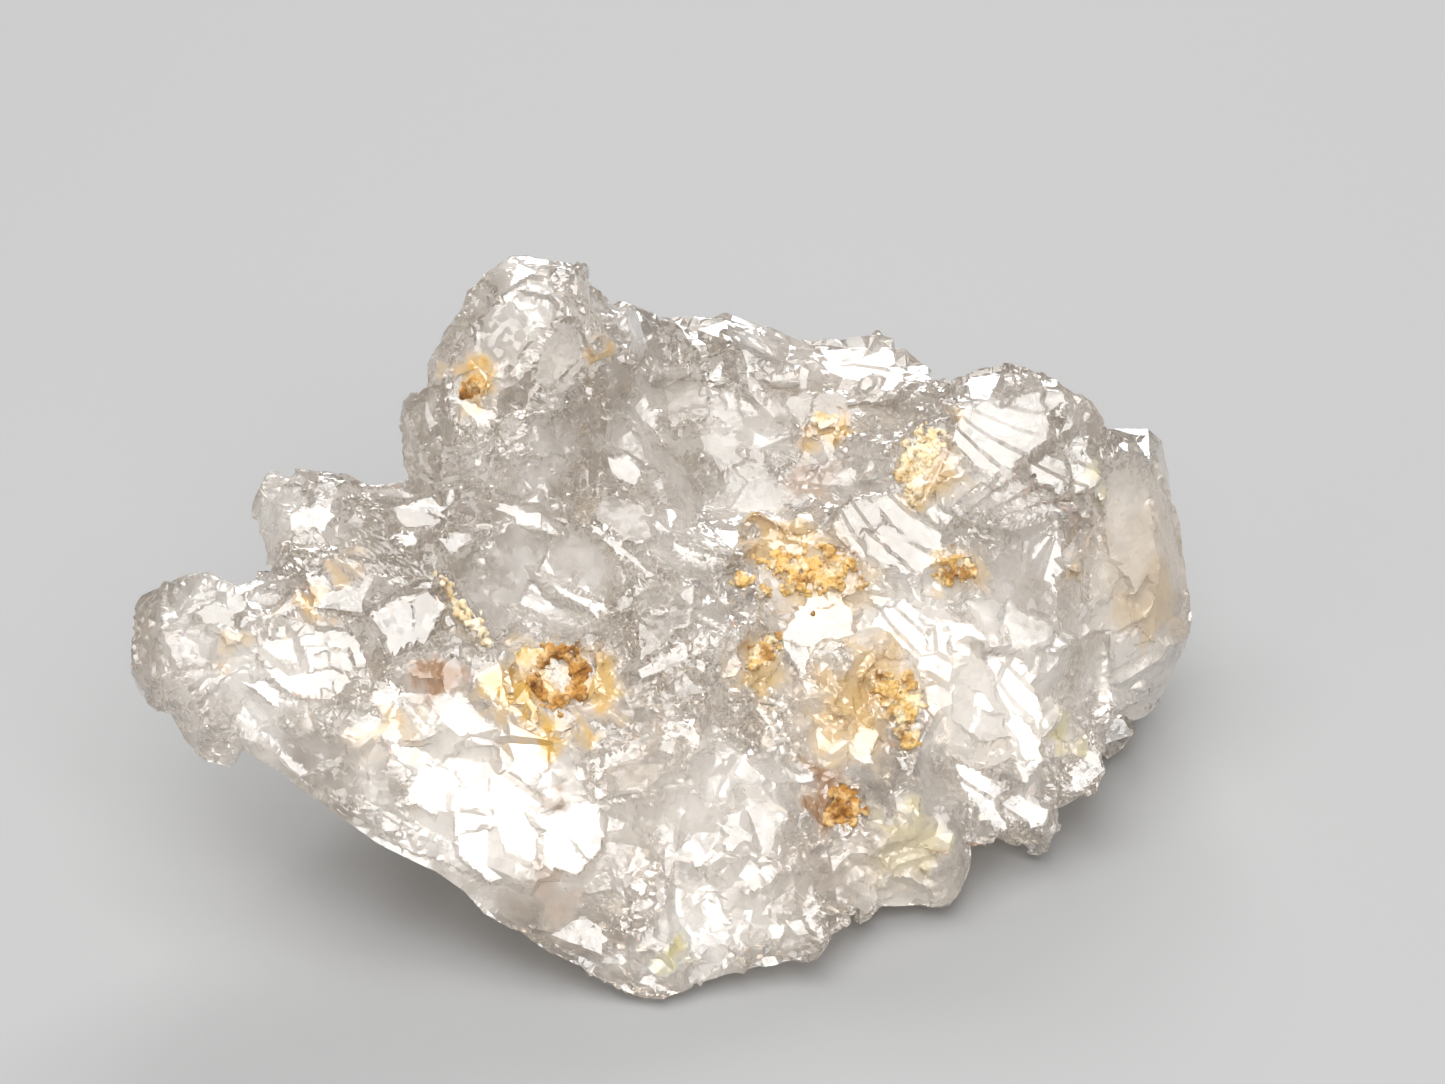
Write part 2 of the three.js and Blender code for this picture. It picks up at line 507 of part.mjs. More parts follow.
// A block whose near face is a facet's plane, with uneven sides.
function facetCutter({ at, facing, reach }, random) {
  const points = [];
  for (let a = 0; a < 2 * Math.PI; a += between(FACET_TURN, random())) {
    const r = reach * between(FACET_REACH, random());
    const corner = new THREE.Vector3(r * Math.cos(a), r * Math.sin(a), 0);
    points.push(corner, corner.clone().multiplyScalar(FACET_FLARE).setZ(FACET_OPEN));
  }
  const turn = new THREE.Quaternion().setFromUnitVectors(FORWARD, new THREE.Vector3(...facing).normalize());
  const middle = new THREE.Vector3(...at);
  return hullOf(points.map((p) => p.applyQuaternion(turn).add(middle)));
}

// A block that lies below a straight broken edge.
function breakCutter({ from, to, under, deep, beyond }) {
  const start = new THREE.Vector3(...from);
  const along = new THREE.Vector3(...to).sub(start);
  const length = along.length() + beyond[0] + beyond[1];
  along.normalize();
  const out = new THREE.Vector3(along.y, -along.x, -under).projectOnPlane(along).normalize();
  const side = new THREE.Vector3().crossVectors(out, along);
  const box = new THREE.BoxGeometry(length, 2 * deep, BREAK_HEIGHT);
  box.translate(length / 2 - beyond[0], 0, BREAK_HEIGHT / 2);
  box.applyMatrix4(new THREE.Matrix4().makeBasis(along, side, out));
  return solidOf(box.translate(...from));
}

function rib({ at, along, step, length, width, turn }, n) {
  const bearing = THREE.MathUtils.degToRad(turn * n);
  const way = new THREE.Vector2(...along).normalize().rotateAround(new THREE.Vector2(), bearing);
  const side = new THREE.Vector2(-way.y, way.x);
  const foot = new THREE.Vector2(at[0] + step[0] * n, at[1] + step[1] * n);
  const points = RIB.map(([l, s, h]) => {
    const across = s * width * RIB_START * (1 + l);
    const p = foot.clone().addScaledVector(way, l * length).addScaledVector(side, across);
    return new THREE.Vector3(p.x, p.y, at[2] + h * width - RIB_FALL * l * length);
  });
  return hullOf(points);
}

// ---- The crystal ----

function nearBreak(place) {
  const flat = new THREE.Vector3(place.x, place.y, 0);
  return BREAKS.some(({ from, to }) => {
    const edge = new THREE.Line3(new THREE.Vector3(...from).setZ(0), new THREE.Vector3(...to).setZ(0));
    const nearest = edge.closestPointToPoint(flat, true, new THREE.Vector3());
    return nearest.distanceTo(flat) < BREAK_MARGIN && place.z > BREAK_BACK;
  });
}
const isCalm = (place) =>
  nearBreak(place) || CALM.some(([u, v, r]) => Math.hypot(place.x - u, place.y - v) < r);
const sideOf = (normal) => (normal.z > HIDDEN ? "shown" : "hidden");

const random = seededRandom(CRYSTAL_SEED);
let crystal = wasm.Manifold.union([solidOf(body(random)), ...BLOCKS.map((block) => hullOf(vectors(block)))]);
for (const { at, radius } of HOLLOWS) {
  crystal = crystal.subtract(solidOf(new THREE.IcosahedronGeometry(radius, 4).translate(...at)));
}
for (const line of BREAKS) crystal = crystal.subtract(breakCutter(line));

const spacingAt = (place, normal) => (isCalm(place) ? Infinity : CHIP_SPACING[sideOf(normal)]);
const chips = scatter(geometryOf(crystal), random, spacingAt, CHIP_TRIES).map(({ place, normal }) => {
  const size = between(CHIP_SIZE[sideOf(normal)], random() ** CHIP_RARITY);
  const sink = size * (Math.abs(normal.z) > CHIP_EDGEWAYS ? CHIP_SINK.face : CHIP_SINK.rim);
  return chip(random, place.clone().addScaledVector(normal, -sink), normal, size);
});
const ribs = FANS.flatMap((fan) => Array.from({ length: fan.count }, (_, n) => rib(fan, n)));
crystal = wasm.Manifold.union([crystal, ...chips, ...ribs]);
for (const facet of FACETS) crystal = crystal.subtract(facetCutter(facet, random));
for (const { beyond, trim, ...line } of BREAKS) {
  const further = beyond.map((length, i) => length + trim[i]);
  crystal = crystal.subtract(breakCutter({ ...line, beyond: further }));
}

// ---- Clay ----

// How far out the crystal reaches around (u, v), on average of five places `across` the lump.
const crystalSurface = new THREE.Mesh(geometryOf(crystal), new THREE.MeshBasicMaterial());
const PROBES = [[0, 0], [0.7, 0], [-0.7, 0], [0, 0.7], [0, -0.7]];
const ABOVE = 20; // further out than any of the crystal
function surfaceAround([u, v], across) {
  const ray = new THREE.Raycaster();
  const into = new THREE.Vector3(0, 0, -1);
  const found = PROBES.flatMap(([du, dv]) => {
    ray.set(new THREE.Vector3(u + du * across, v + dv * across, ABOVE), into);
    return ray.intersectObject(crystalSurface).slice(0, 1);
  });
  return found.reduce((sum, hit) => sum + hit.point.z, 0) / found.length;
}

// A crumbly lump of clay at depth w, grown on every side by `grown`.
function lump({ at, half, deep, turn }, w, seed, grown) {
  const throwing = seededRandom(seed);
  const detail = half[0] > CLAY_COARSE[0] && half[1] > CLAY_COARSE[1] ? 2 : 1;
  const geometry = bareGeometry(new THREE.IcosahedronGeometry(1, detail));
  const place = geometry.attributes.position;
  const p = new THREE.Vector3();
  for (let i = 0; i < place.count; i++) {
    p.fromBufferAttribute(place, i);
    const swell = between(CLAY_SWELL, throwing());
    p.multiply(new THREE.Vector3(half[0] * swell + grown, half[1] * swell + grown, deep * swell + grown));
    p.applyAxisAngle(FORWARD, THREE.MathUtils.degToRad(turn));
    place.setXYZ(i, p.x + at[0], p.y + at[1], p.z + w);
  }
  return geometry;
}

const clayMeshes = CLAY.map((clay, i) => {
  const surface = surfaceAround(clay.at, clay.half[1]);
  const w = surface - CLAY_DEPTH * clay.deep;
  const bowl = lump(clay, surface + BOWL_RISE * clay.deep, BOWL_SEED + i, BOWL_GROWTH * clay.half[1]);
  const pocket = lump(clay, w, CLAY_SEED + i, CLAY_GAP);
  crystal = crystal.subtract(solidOf(bowl)).subtract(solidOf(pocket));
  const mesh = new THREE.Mesh(
    lump(clay, w, CLAY_SEED + i, 0),
    new THREE.MeshStandardMaterial({ color: clay.color, roughness: 0.95, metalness: 0, flatShading: true }),
  );
  mesh.name = clay.name;
  return mesh;
});

// ---- Set down ----

const leanBack = new THREE.Matrix4().makeRotationX(SHOW_SLOPE);
const floorBlock = new THREE.BoxGeometry(FLOOR_BLOCK, FLOOR_BLOCK, FLOOR_BLOCK);
floorBlock.translate(0, 0, -FLOOR_BLOCK / 2 - LIFT);
floorBlock.applyMatrix4(leanBack.clone().invert());
crystal = largestBody(crystal.subtract(solidOf(floorBlock)));

const ON_GROUND = 1e-3; // corners that are this near to the ground rest on it
const isOnGround = (p) => Math.abs(p.clone().applyMatrix4(leanBack).z + LIFT) < ON_GROUND;
const crystalMesh = new THREE.Mesh(
  withoutSlivers(geometryOf(crystal), SHORTEST_EDGE, isOnGround),
  new THREE.MeshStandardMaterial({ color: 0xe8e0d6, roughness: 0.12, metalness: 0, flatShading: true }),
);
crystalMesh.name = "goshenite_crystal";

const leaning = new THREE.Group();
leaning.rotation.x = SHOW_SLOPE;
leaning.position.z = LIFT;
leaning.add(crystalMesh, ...clayMeshes);

const specimen = new THREE.Group();
specimen.add(leaning);
specimen.updateMatrixWorld(true);
const bounds = new THREE.Box3().setFromObject(specimen, true);
const centre = bounds.getCenter(new THREE.Vector3());
leaning.position.sub(new THREE.Vector3(centre.x, centre.y, bounds.min.z));
export default specimen;
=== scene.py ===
"""Looks of the goshenite specimen: the clear, etched crystal and the iron-stained clay lodged in it.

The crystal's solid is remeshed finely and its surface is cut into flats, ribbed fans and small facets.
Each lump of clay becomes a ragged patch of crumbs. Shapes are worked out in millimetres. Where that helps
they are placed in the show face's own frame: u to the right, v up the face and w out of it.
"""

import math

import bmesh
import bpy
import numpy as np
from mathutils import Matrix, Vector, noise
from mathutils.bvhtree import BVHTree
from mathutils.kdtree import KDTree


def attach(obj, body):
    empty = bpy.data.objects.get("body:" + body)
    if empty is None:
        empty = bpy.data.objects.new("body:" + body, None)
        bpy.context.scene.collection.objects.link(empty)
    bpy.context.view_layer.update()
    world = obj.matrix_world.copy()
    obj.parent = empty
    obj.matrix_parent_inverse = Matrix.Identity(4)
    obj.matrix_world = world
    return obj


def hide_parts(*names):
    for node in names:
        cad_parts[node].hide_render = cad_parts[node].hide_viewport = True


MM = 0.001
SEED = 20  # of everything random
SHOW_SLOPE = math.radians(60)  # of the show face, from level
SHOW_ORIGIN = np.array([1.989, -5.283, 15.9])  # of the show frame, in the row frame, mm
CAMERA_AWAY = 200.0  # mm, straight out from the show frame's origin
CAMERA_LENS = 124.57  # mm
CAMERA_CLIP = 0.01  # m, the nearest that it sees
SOFTBOX = np.array([50.0, -290.0, 300.0])  # the main light, in the row frame, mm

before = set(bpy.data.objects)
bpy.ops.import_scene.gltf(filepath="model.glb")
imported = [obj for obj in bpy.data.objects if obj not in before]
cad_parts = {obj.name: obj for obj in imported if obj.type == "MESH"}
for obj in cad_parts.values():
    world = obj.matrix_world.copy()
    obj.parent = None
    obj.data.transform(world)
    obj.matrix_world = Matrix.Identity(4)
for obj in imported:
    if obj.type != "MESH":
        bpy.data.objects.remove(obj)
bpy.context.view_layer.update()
rng = np.random.default_rng(SEED)
noise.seed_set(SEED)


# ---- Frames ----


def to_show(points):
    """Points in the row frame as (u, v, w)."""
    x, y, z = (points - SHOW_ORIGIN).T
    c, s = math.cos(SHOW_SLOPE), math.sin(SHOW_SLOPE)
    return np.column_stack([x, c * y + s * z, -s * y + c * z])


def turned_from_show(u, v, w):
    """A direction in the show frame, in the row frame."""
    c, s = math.cos(SHOW_SLOPE), math.sin(SHOW_SLOPE)
    return np.array([u, c * v - s * w, s * v + c * w])


def from_show(u, v, w):
    return SHOW_ORIGIN + turned_from_show(u, v, w)


OUT = turned_from_show(0, 0, 1)


def as_seen(points):
    """Where each point shows, in mm on the plane through the show frame's origin."""
    show = to_show(points)
    return show[:, :2] * CAMERA_AWAY / (CAMERA_AWAY - show[:, 2:])


# ---- Meshes as arrays ----


def read(elements, name, width, kind=float):
    """One property of a mesh's points or edges, a row for each."""
    values = np.empty(len(elements) * width, kind)
    elements.foreach_get(name, values)
    return values.reshape(-1, width)


def points_of(mesh):
    return read(mesh.vertices, "co", 3)


def edges_of(mesh):
    return read(mesh.edges, "vertices", 2, np.int32)


def normals_of(mesh):
    return read(mesh.vertices, "normal", 3)


def unit(vectors):
    """The vectors, each made one long."""
    return vectors / np.maximum(np.linalg.norm(vectors, axis=-1, keepdims=True), 1e-12)


def gather(edges, values):
    """The sum of each point's neighbours' values."""
    total = np.zeros_like(values)
    np.add.at(total, edges[:, 0], values[edges[:, 1]])
    np.add.at(total, edges[:, 1], values[edges[:, 0]])
    return total


def link(mesh, name):
    piece = bpy.data.objects.new(name, mesh)
    bpy.context.scene.collection.objects.link(piece)
    return piece


def modified(piece, kind, **settings):
    """The piece's mesh with one modifier applied."""
    modifier = piece.modifiers.new(kind, kind)
    for key, value in settings.items():
        setattr(modifier, key, value)
    depsgraph = bpy.context.evaluated_depsgraph_get()
    mesh = bpy.data.meshes.new_from_object(piece.evaluated_get(depsgraph))
    piece.modifiers.remove(modifier)
    old, piece.data = piece.data, mesh
    if not old.users:
        bpy.data.meshes.remove(old)
    return mesh


# ---- Facets ----

GRID = 1.0  # mm, the cells in which neighbours are looked for
GRAIN_WAY = turned_from_show(0.8, -0.6, 0)  # which way most grains run
GRAIN_TURN = 0.6  # radians, how far they turn from it
GRAIN_LONG = 1.35  # how far they are drawn out along it
GRAIN_HEIGHT = (0.1, 1)  # lowest and highest, in shares of a grain's full relief
GRAIN_MOST = (0.55, 0.03)  # the most that a grain moves a point: share of its relief, and mm on top
TILT = 0.35  # the steepest slope of a grain's top
MIRROR_STEEPEST = 0.6  # the same, for a top that is turned to the softbox
MIRROR_WANDER = 0.04  # how far such a top is off
SIDES = 5  # of a grain
SIDE_TURN = 0.3  # how unevenly they stand around it
SIDE_SLOPE = (0.4, 1.6)
SIDE_SLOPE_LOW = 0.3  # share of that slope on a grain with no relief
SIDE_REACH = (0.3, 0.62)  # from the grain's middle, in its sizes
LEAST = 0.2  # cosine below which a surface is turned too far from the softbox to divide by
NEAREST = 10  # grains looked at for each point
SAME_WAY = 0.8  # a grain covers only points whose cosine with its own way is above this
EASE_TIMES = 2
EASE_FROM = 0.1  # mm, how far a point has to stand out to be drawn in
EASE_SHARE = 0.6  # of the way to the middle of its neighbours


def scatter(points, spacing):
    """Indices of points at least their own spacing apart, in a random order, from a third of them."""
    grid = {}
    kept = []
    for i in rng.permutation(len(points))[: len(points) // 3]:
        p, r = points[i], spacing[i]
        key = tuple((p // GRID).astype(int))
        steps = range(-math.ceil(r / GRID), math.ceil(r / GRID) + 1)
        near = (
            j
            for dx in steps
            for dy in steps
            for dz in steps
            for j in grid.get((key[0] + dx, key[1] + dy, key[2] + dz), ())
        )
        if all(np.sum((points[j] - p) ** 2) > (0.5 * (r + spacing[j])) ** 2 for j in near):
            kept.append(i)
            grid.setdefault(key, []).append(i)
    return np.array(kept)


class Grains:
    """Grains planted on a surface, each with a tilted flat top and steep flat sides."""

    def __init__(self, places, up, size, relief, catching):
        count = len(places)
        self.places, self.up = places, up
        # its own two ways along the surface
        first = unit(GRAIN_WAY - np.sum(up * GRAIN_WAY, 1, keepdims=True) * up + 1e-6)
        second = np.cross(up, first)
        turn = rng.normal(0, GRAIN_TURN, count)[:, None]
        c, s = np.cos(turn), np.sin(turn)
        self.along, self.across = c * first + s * second, c * second - s * first
        height = relief * size * rng.uniform(*GRAIN_HEIGHT, count)
        self.most = GRAIN_MOST[0] * relief * size + GRAIN_MOST[1]
        lean = TILT * rng.uniform(-1, 1, (count, 2))
        # a share of the tops is turned to where they mirror the softbox
        toward = towards_softbox(places)
        mirrored = -np.stack([np.sum(toward * self.along, 1), np.sum(toward * self.across, 1)], 1)
        mirrored /= np.maximum(np.sum(toward * up, 1), LEAST)[:, None]
        turns = (rng.random(count) < catching) & (np.abs(mirrored).max(1) < MIRROR_STEEPEST)
        lean = np.where(turns[:, None], mirrored + rng.normal(0, MIRROR_WANDER, (count, 2)), lean)
        uneven = rng.uniform(-SIDE_TURN, SIDE_TURN, (count, SIDES))
        azimuth = (np.arange(SIDES) + uneven) * 2 * math.pi / SIDES
        gentle = np.minimum(1, SIDE_SLOPE_LOW + relief)[:, None]
        steep = rng.uniform(*SIDE_SLOPE, (count, SIDES)) * gentle
        reach = size[:, None] * rng.uniform(*SIDE_REACH, (count, SIDES))
        reach = reach * np.hypot(GRAIN_LONG * np.cos(azimuth), np.sin(azimuth) / GRAIN_LONG)
        sides = -steep[..., None] * np.stack([np.cos(azimuth), np.sin(azimuth)], -1)
        self.slopes = np.concatenate([lean[:, None], sides], 1)
        self.rise = np.concatenate([np.zeros((count, 1)), steep * reach], 1) + height[:, None]

    def over(self, points, normals, sign):
        """How far each point is moved by the grain that covers it best, its new plane, and which grain
        that is. Where none covers it, the distance has the other sign."""
        tree = KDTree(len(self.places))
        for i, p in enumerate(self.places):
            tree.insert(p, i)
        tree.balance()
        near = np.array([[j for _, j, _ in tree.find_n(p, NEAREST)] for p in points])
        offset = points[:, None] - self.places[near]
        x = np.sum(offset * self.along[near], 2)
        y = np.sum(offset * self.across[near], 2)
        z = np.sum(offset * self.up[near], 2)
        slopes = self.slopes[near]
        lifts = self.rise[near] + slopes[..., 0] * x[..., None] + slopes[..., 1] * y[..., None]
        which = lifts.argmin(-1)
        lift = np.take_along_axis(lifts, which[..., None], -1)[..., 0] - sign * z
        lift[np.sum(self.up[near] * normals[:, None], 2) < SAME_WAY] = -1
        best = lift.argmax(1)
        rows = np.arange(len(points))
        grain = near[rows, best]
        slope = sign * slopes[rows, best, which[rows, best]]
        plane = self.up[grain] - slope[:, :1] * self.along[grain] - slope[:, 1:] * self.across[grain]
        height = np.minimum(lift[rows, best], self.most[grain])
        return sign * height, unit(plane), grain


def sharpened(points, planes, edges, pull=0.02, most=0.13):
    """Moves each point to where its own facet meets its neighbours' facets, by at most so many mm. The
    pull holds it where that place isn't clear."""
    outer = planes[:, :, None] * planes[:, None, :]
    level = np.sum(planes * points, 1)[:, None] * planes
    left = outer + gather(edges, outer.reshape(-1, 9)).reshape(-1, 3, 3) + pull * np.eye(3)
    right = level + gather(edges, level) + pull * points
    step = np.linalg.solve(left, right[..., None])[..., 0] - points
    length = np.linalg.norm(step, axis=1, keepdims=True)
    return points + step * np.minimum(1, most / np.maximum(length, 1e-9))


def eased(points, edges):
    """Draws in the points that stand out from all of their neighbours."""
    counts = gather(edges, np.ones((len(points), 1)))
    for _ in range(EASE_TIMES):
        mean = gather(edges, points) / counts
        out = np.linalg.norm(mean - points, axis=1) > EASE_FROM
        points = np.where(out[:, None], (1 - EASE_SHARE) * points + EASE_SHARE * mean, points)
    return points


def towards_softbox(places):
    """The direction in which a facet at each place has to face to mirror the softbox in the show view."""
    camera = from_show(0, 0, CAMERA_AWAY)
    return unit(unit(camera - places) + unit(SOFTBOX - places))


def inside(corners, spots):
    """Which spots lie inside an outline."""
    x, y = spots.T
    odd = np.zeros(len(spots), bool)
    for (ax, ay), (bx, by) in zip(corners, corners[1:] + corners[:1]):
        crosses = (ay > y) != (by > y)
        odd ^= crosses & (x < (bx - ax) * (y - ay) / (by - ay + 1e-12) + ax)
    return odd


def blended(spots, base, zones):
    """A value for each spot: the base, drawn towards each zone's value inside that zone."""
    value = np.full(len(spots), float(base))
    for u, v, radius, soft, target in zones:
        away = np.hypot(spots[:, 0] - u, spots[:, 1] - v)
        value += np.clip((radius + soft - away) / soft, 0, 1) * (target - value)
    return value


# ---- The crystal ----

VOXEL = 0.12  # mm
MOST_TRIANGLES = 188000
SHOWN_LOSS = 0.3  # how readily the show face loses points to keep to that, next to the back
FLAT_MOST = 0.6  # mm, the furthest that a flat moves the surface
FLAT_STEP = 2.4  # mm, across the parts that a flat is broken into
STEP_MOST = 0.9  # mm, the furthest that a part moves it
STEP_LONG = 0.6  # how far the parts of a fan are drawn out
FLAT_COVER = 0.08  # share of the places for a grain on a flat that have one
FLAT_GRAIN = 0.8  # and how large these are next to others
FLAT_WANDER = 0.03  # how far each part's plane turns from the flat's own
NEAR_PART = 90  # percentile of its points at which an outline's nearest part lies
LAYER = 3.0  # mm, what lies deeper than this behind that part isn't in the outline

# Broad flat facets of the show face, each with how far it turns to the softbox, or away from it below 0,
# and its outline as seen.
FLATS = [
    # the far left
    (1, [(-18.9, -4.1), (-16.5, -3.6), (-15.1, -3.6), (-14.3, -4.8), (-15.6, -6.3), (-17.5, -6.2)]),
    (1, [(-19.4, -5.6), (-18.4, -5.4), (-17.3, -6.1), (-17.9, -6.8)]),
    (0.8, [(-14.2, -2.8), (-12.9, -2.0), (-11.7, -1.9), (-10.8, -2.4), (-11.7, -3.9), (-13.3, -4.4)]),
    (0.3, [(-21.3, -2.8), (-20.3, -2.3), (-19.5, -2.8), (-19.3, -3.6), (-20.7, -3.2)]),
    # the ledge above
    (1, [(-17.5, 1.1), (-16.3, 1.6), (-15.1, 1.0), (-16.1, 0.5), (-17.2, 0.6)]),
    (1, [(-13.4, 1.4), (-11.7, 1.9), (-10.6, 0.8), (-11.8, 0.5), (-12.9, 0.6)]),
    (0.8, [(-11.6, 0.4), (-10.1, 0.3), (-9.6, -0.1), (-10.8, -0.6)]),
    # the long slope above the straight edge
    (1, [(-12.8, -9.9), (-12.1, -8.9), (-10.9, -9.0), (-10.1, -10.1), (-11.3, -10.9), (-12.7, -10.6)]),
    (0.8, [(-10.9, -9.9), (-8.9, -9.1), (-7.1, -10.3), (-7.3, -12.7), (-9.3, -13.9), (-10.7, -12.7)]),
    (0.7, [(-7.1, -10.9), (-4.9, -10.3), (-4.7, -12.3), (-5.7, -13.5), (-7.1, -13.1)]),
    # the recess, and the bright slivers around it
    (0, [(-9.7, -0.7), (-8.9, 0.7), (-7.7, 1.1), (-7.0, -0.1), (-8.1, -2.3), (-9.1, -2.7)]),
    (0, [(-7.0, 0.9), (-4.9, 1.8), (-3.3, 1.5), (-2.9, 0.1), (-4.5, -0.1), (-5.9, 0.5)]),
    (1, [(-9.4, 1.7), (-8.1, 1.6), (-6.4, 0.1), (-7.7, 0.4)]),
    (1, [(-6.0, 0.9), (-4.9, 0.7), (-3.1, -0.7), (-2.8, -1.4), (-4.3, -0.5)]),
    (1, [(-7.8, -1.0), (-6.5, -1.7), (-4.5, -2.5), (-3.3, -3.1), (-4.9, -3.0), (-6.7, -2.3)]),
    # the middle
    (-0.6, [(-3.1, -1.3), (-1.7, -1.0), (-0.9, -1.9), (-1.3, -3.9), (-2.9, -3.5), (-3.6, -2.3)]),
    (1, [(2.3, -3.9), (2.9, -2.5), (4.3, -2.2), (5.4, -2.6), (5.1, -3.9), (4.0, -4.1), (3.1, -5.5)]),
    (0.8, [(5.5, -7.2), (6.4, -7.7), (5.9, -8.9), (5.0, -8.7)]),
    # the blades at the right
    (0.1, [(9.2, -4.7), (10.3, -4.3), (11.3, -6.7), (11.4, -7.9), (10.3, -8.1), (9.3, -7.3)]),
    (1, [(11.9, -2.9), (14.3, -3.9), (13.5, -4.5), (12.3, -3.9)]),
    (1, [(8.3, -2.8), (10.1, -3.2), (11.1, -4.3), (10.1, -4.1), (8.9, -3.9)]),
    (0.8, [(11.3, -2.3), (13.1, -3.3), (14.1, -4.3), (12.3, -4.3), (11.1, -3.7)]),
    (1, [(13.3, 1.3), (14.7, 1.1), (15.0, 0.5), (14.3, 0.6)]),
    # the trough
    (0.9, [(-0.3, 6.3), (1.1, 5.8), (1.8, 5.1), (0.5, 5.4)]),
    (0.2, [(-0.9, 4.1), (0.5, 4.5), (0.7, 3.3), (-0.3, 3.1)]),
    (0.9, [(-4.9, 3.7), (-3.3, 3.1), (-3.3, 2.1), (-4.5, 2.5)]),
    (0.1, [(-2.6, 5.9), (-1.0, 6.9), (-0.6, 5.2), (-2.2, 4.6)]),
    (0.1, [(2.4, 5.7), (4.8, 6.2), (5.4, 4.9), (3.4, 4.2)]),
    (0.1, [(-5.6, 6.6), (-4.0, 7.6), (-3.2, 6.3), (-4.8, 5.2)]),
    # the fin and the column
    (1, [(-11.3, 5.9), (-9.7, 5.6), (-8.6, 4.6), (-9.7, 4.7)]),
    (-0.4, [(-9.9, 8.9), (-8.3, 9.7), (-7.5, 8.3), (-8.6, 6.9), (-9.9, 7.3)]),
    (-0.4, [(-7.5, 8.3), (-6.1, 8.9), (-5.3, 7.1), (-6.1, 5.5), (-7.7, 6.7)]),
    (0, [(15.5, 3.7), (16.9, 3.5), (17.5, -0.7), (16.3, -2.3), (15.3, 0.9)]),
    # the spiked lobe
    (0.8, [(13.5, -10.0), (15.1, -8.2), (15.4, -9.2), (14.3, -10.3)]),
    (0.5, [(10.7, -10.3), (12.7, -10.3), (13.1, -11.6), (11.5, -11.3)]),
]
# Cleavage fans: how far each turns to the softbox, which way its ribs run, how wide and high they
# are, and the outline as seen.
FANS = [
    # the crest
    (0.9, (0.92, -0.4), 0.75, 0.055, [
        (8.9, 4.1), (9.6, 5.2), (11.6, 6.3), (13.6, 6.0), (14.2, 4.4), (12.3, 3.4), (10.6, 2.6),
    ]),
    (0.9, (0.85, -0.53), 0.7, 0.055, [
        (12.3, 3.4), (14.2, 4.4), (15.1, 3.5), (15.0, 2.1), (13.6, 1.5), (12.4, 2.3),
    ]),
    # below it
    (0.9, (0.77, -0.64), 0.75, 0.055, [
        (4.1, 0.6), (5.0, 1.8), (6.9, 1.9), (8.7, 0.6), (8.9, -0.2), (7.9, -1.3), (6.0, -0.9),
    ]),
    (0.8, (0.7, -0.7), 0.7, 0.05, [(5.9, -3.1), (7.3, -2.1), (8.4, -3.5), (8.3, -5.1), (7.1, -4.3)]),
    # the blades at the right
    (1, (0.55, -0.83), 0.8, 0.055, [
        (9.7, -3.9), (11.9, -4.7), (12.7, -6.3), (12.9, -8.7), (12.1, -9.9), (11.4, -7.9), (11.1, -6.3),
        (10.3, -4.3),
    ]),
    (1, (0.1, -0.99), 0.8, 0.055, [(8.5, -2.9), (9.1, -3.9), (9.2, -6.3), (8.3, -5.5), (8.1, -3.9)]),
    (1, (0.8, -0.6), 0.8, 0.055, [
        (9.1, -8.3), (11.9, -9.9), (13.1, -10.7), (12.7, -11.9), (10.7, -11.3), (9.5, -9.7),
    ]),
]
FAN_REACH = 6.0  # mm, how far behind a fan's middle its ribs meet
RIB_BACK = 0.75  # share of a rib's width that rises gently
RIB_WANDER = 0.09  # how far a rib turns its own way

# Where grains differ from elsewhere: u, v, radius and soft edge, all as seen, and the value there.
SIZE = 1.8  # mm
SIZE_ZONES = [
    (0.5, -12.5, 5.0, 2.5, 0.8),
    (-1.0, -15.5, 4.5, 1.5, 0.8),
    (-3.5, -9.0, 3.5, 2.5, 1.0),
    (-21.5, -4.5, 3.0, 1.5, 1.4),
    (-10.5, 8.5, 1.5, 1.0, 0.9),
    (-7.5, 6.5, 3.0, 1.0, 2.0),
    (18.0, -1.0, 4.0, 1.0, 1.6),
    (1.5, 5.0, 6.0, 1.5, 1.9),
]
RELIEF = 0.26  # how far a grain stands out at most, as a share of its size
RELIEF_ZONES = [
    (0.5, -12.5, 5.0, 2.5, 0.4),
    (-15.6, -5.0, 2.2, 1.0, 0.1),
    (18.0, -1.0, 4.0, 1.0, 0.16),
    (-7.2, -0.8, 3.2, 1.0, 0.22),
    (-7.5, 6.5, 3.5, 1.0, 0.24),
]
COVER = 0.7  # share of the places for a grain that have one
COVER_ZONES = [
    (0.5, -12.5, 5.0, 2.5, 1.0),
    (-3.5, -9.0, 3.5, 2.5, 0.9),
    (-21.5, -4.5, 3.0, 1.5, 0.8),
    (-9.0, -10.8, 3.4, 1.5, 0.3),
    # along the long straight edge
    (-17.0, -9.7, 0.9, 0.6, 0),
    (-15.0, -11.1, 0.9, 0.6, 0),
    (-13.0, -12.4, 0.9, 0.6, 0),
    (-11.0, -13.8, 0.9, 0.6, 0),
    (-9.0, -15.2, 0.9, 0.6, 0),
    (-7.0, -16.5, 0.9, 0.6, 0),
]
CATCHING = 0.1  # share of them that turns to the softbox
CATCHING_ZONES = [
    (0.5, -12.5, 5.0, 2.5, 0.02),
    (-1.0, -15.5, 4.5, 1.5, 0.02),
    (-9.0, -10.8, 4.5, 1.5, 0.5),
    (-16.0, -5.0, 2.5, 1.0, 0.4),
    (11.0, -6.5, 3.5, 1.5, 0.5),
    (-2.0, 4.5, 4.0, 1.5, 0.03),
    (3.0, 4.0, 4.5, 1.5, 0.03),
    (-8.0, 7.0, 3.0, 1.0, 0.05),
    (17.5, -1.0, 3.5, 1.0, 0.02),
    (-21.5, -4.5, 2.5, 1.0, 0.05),
]
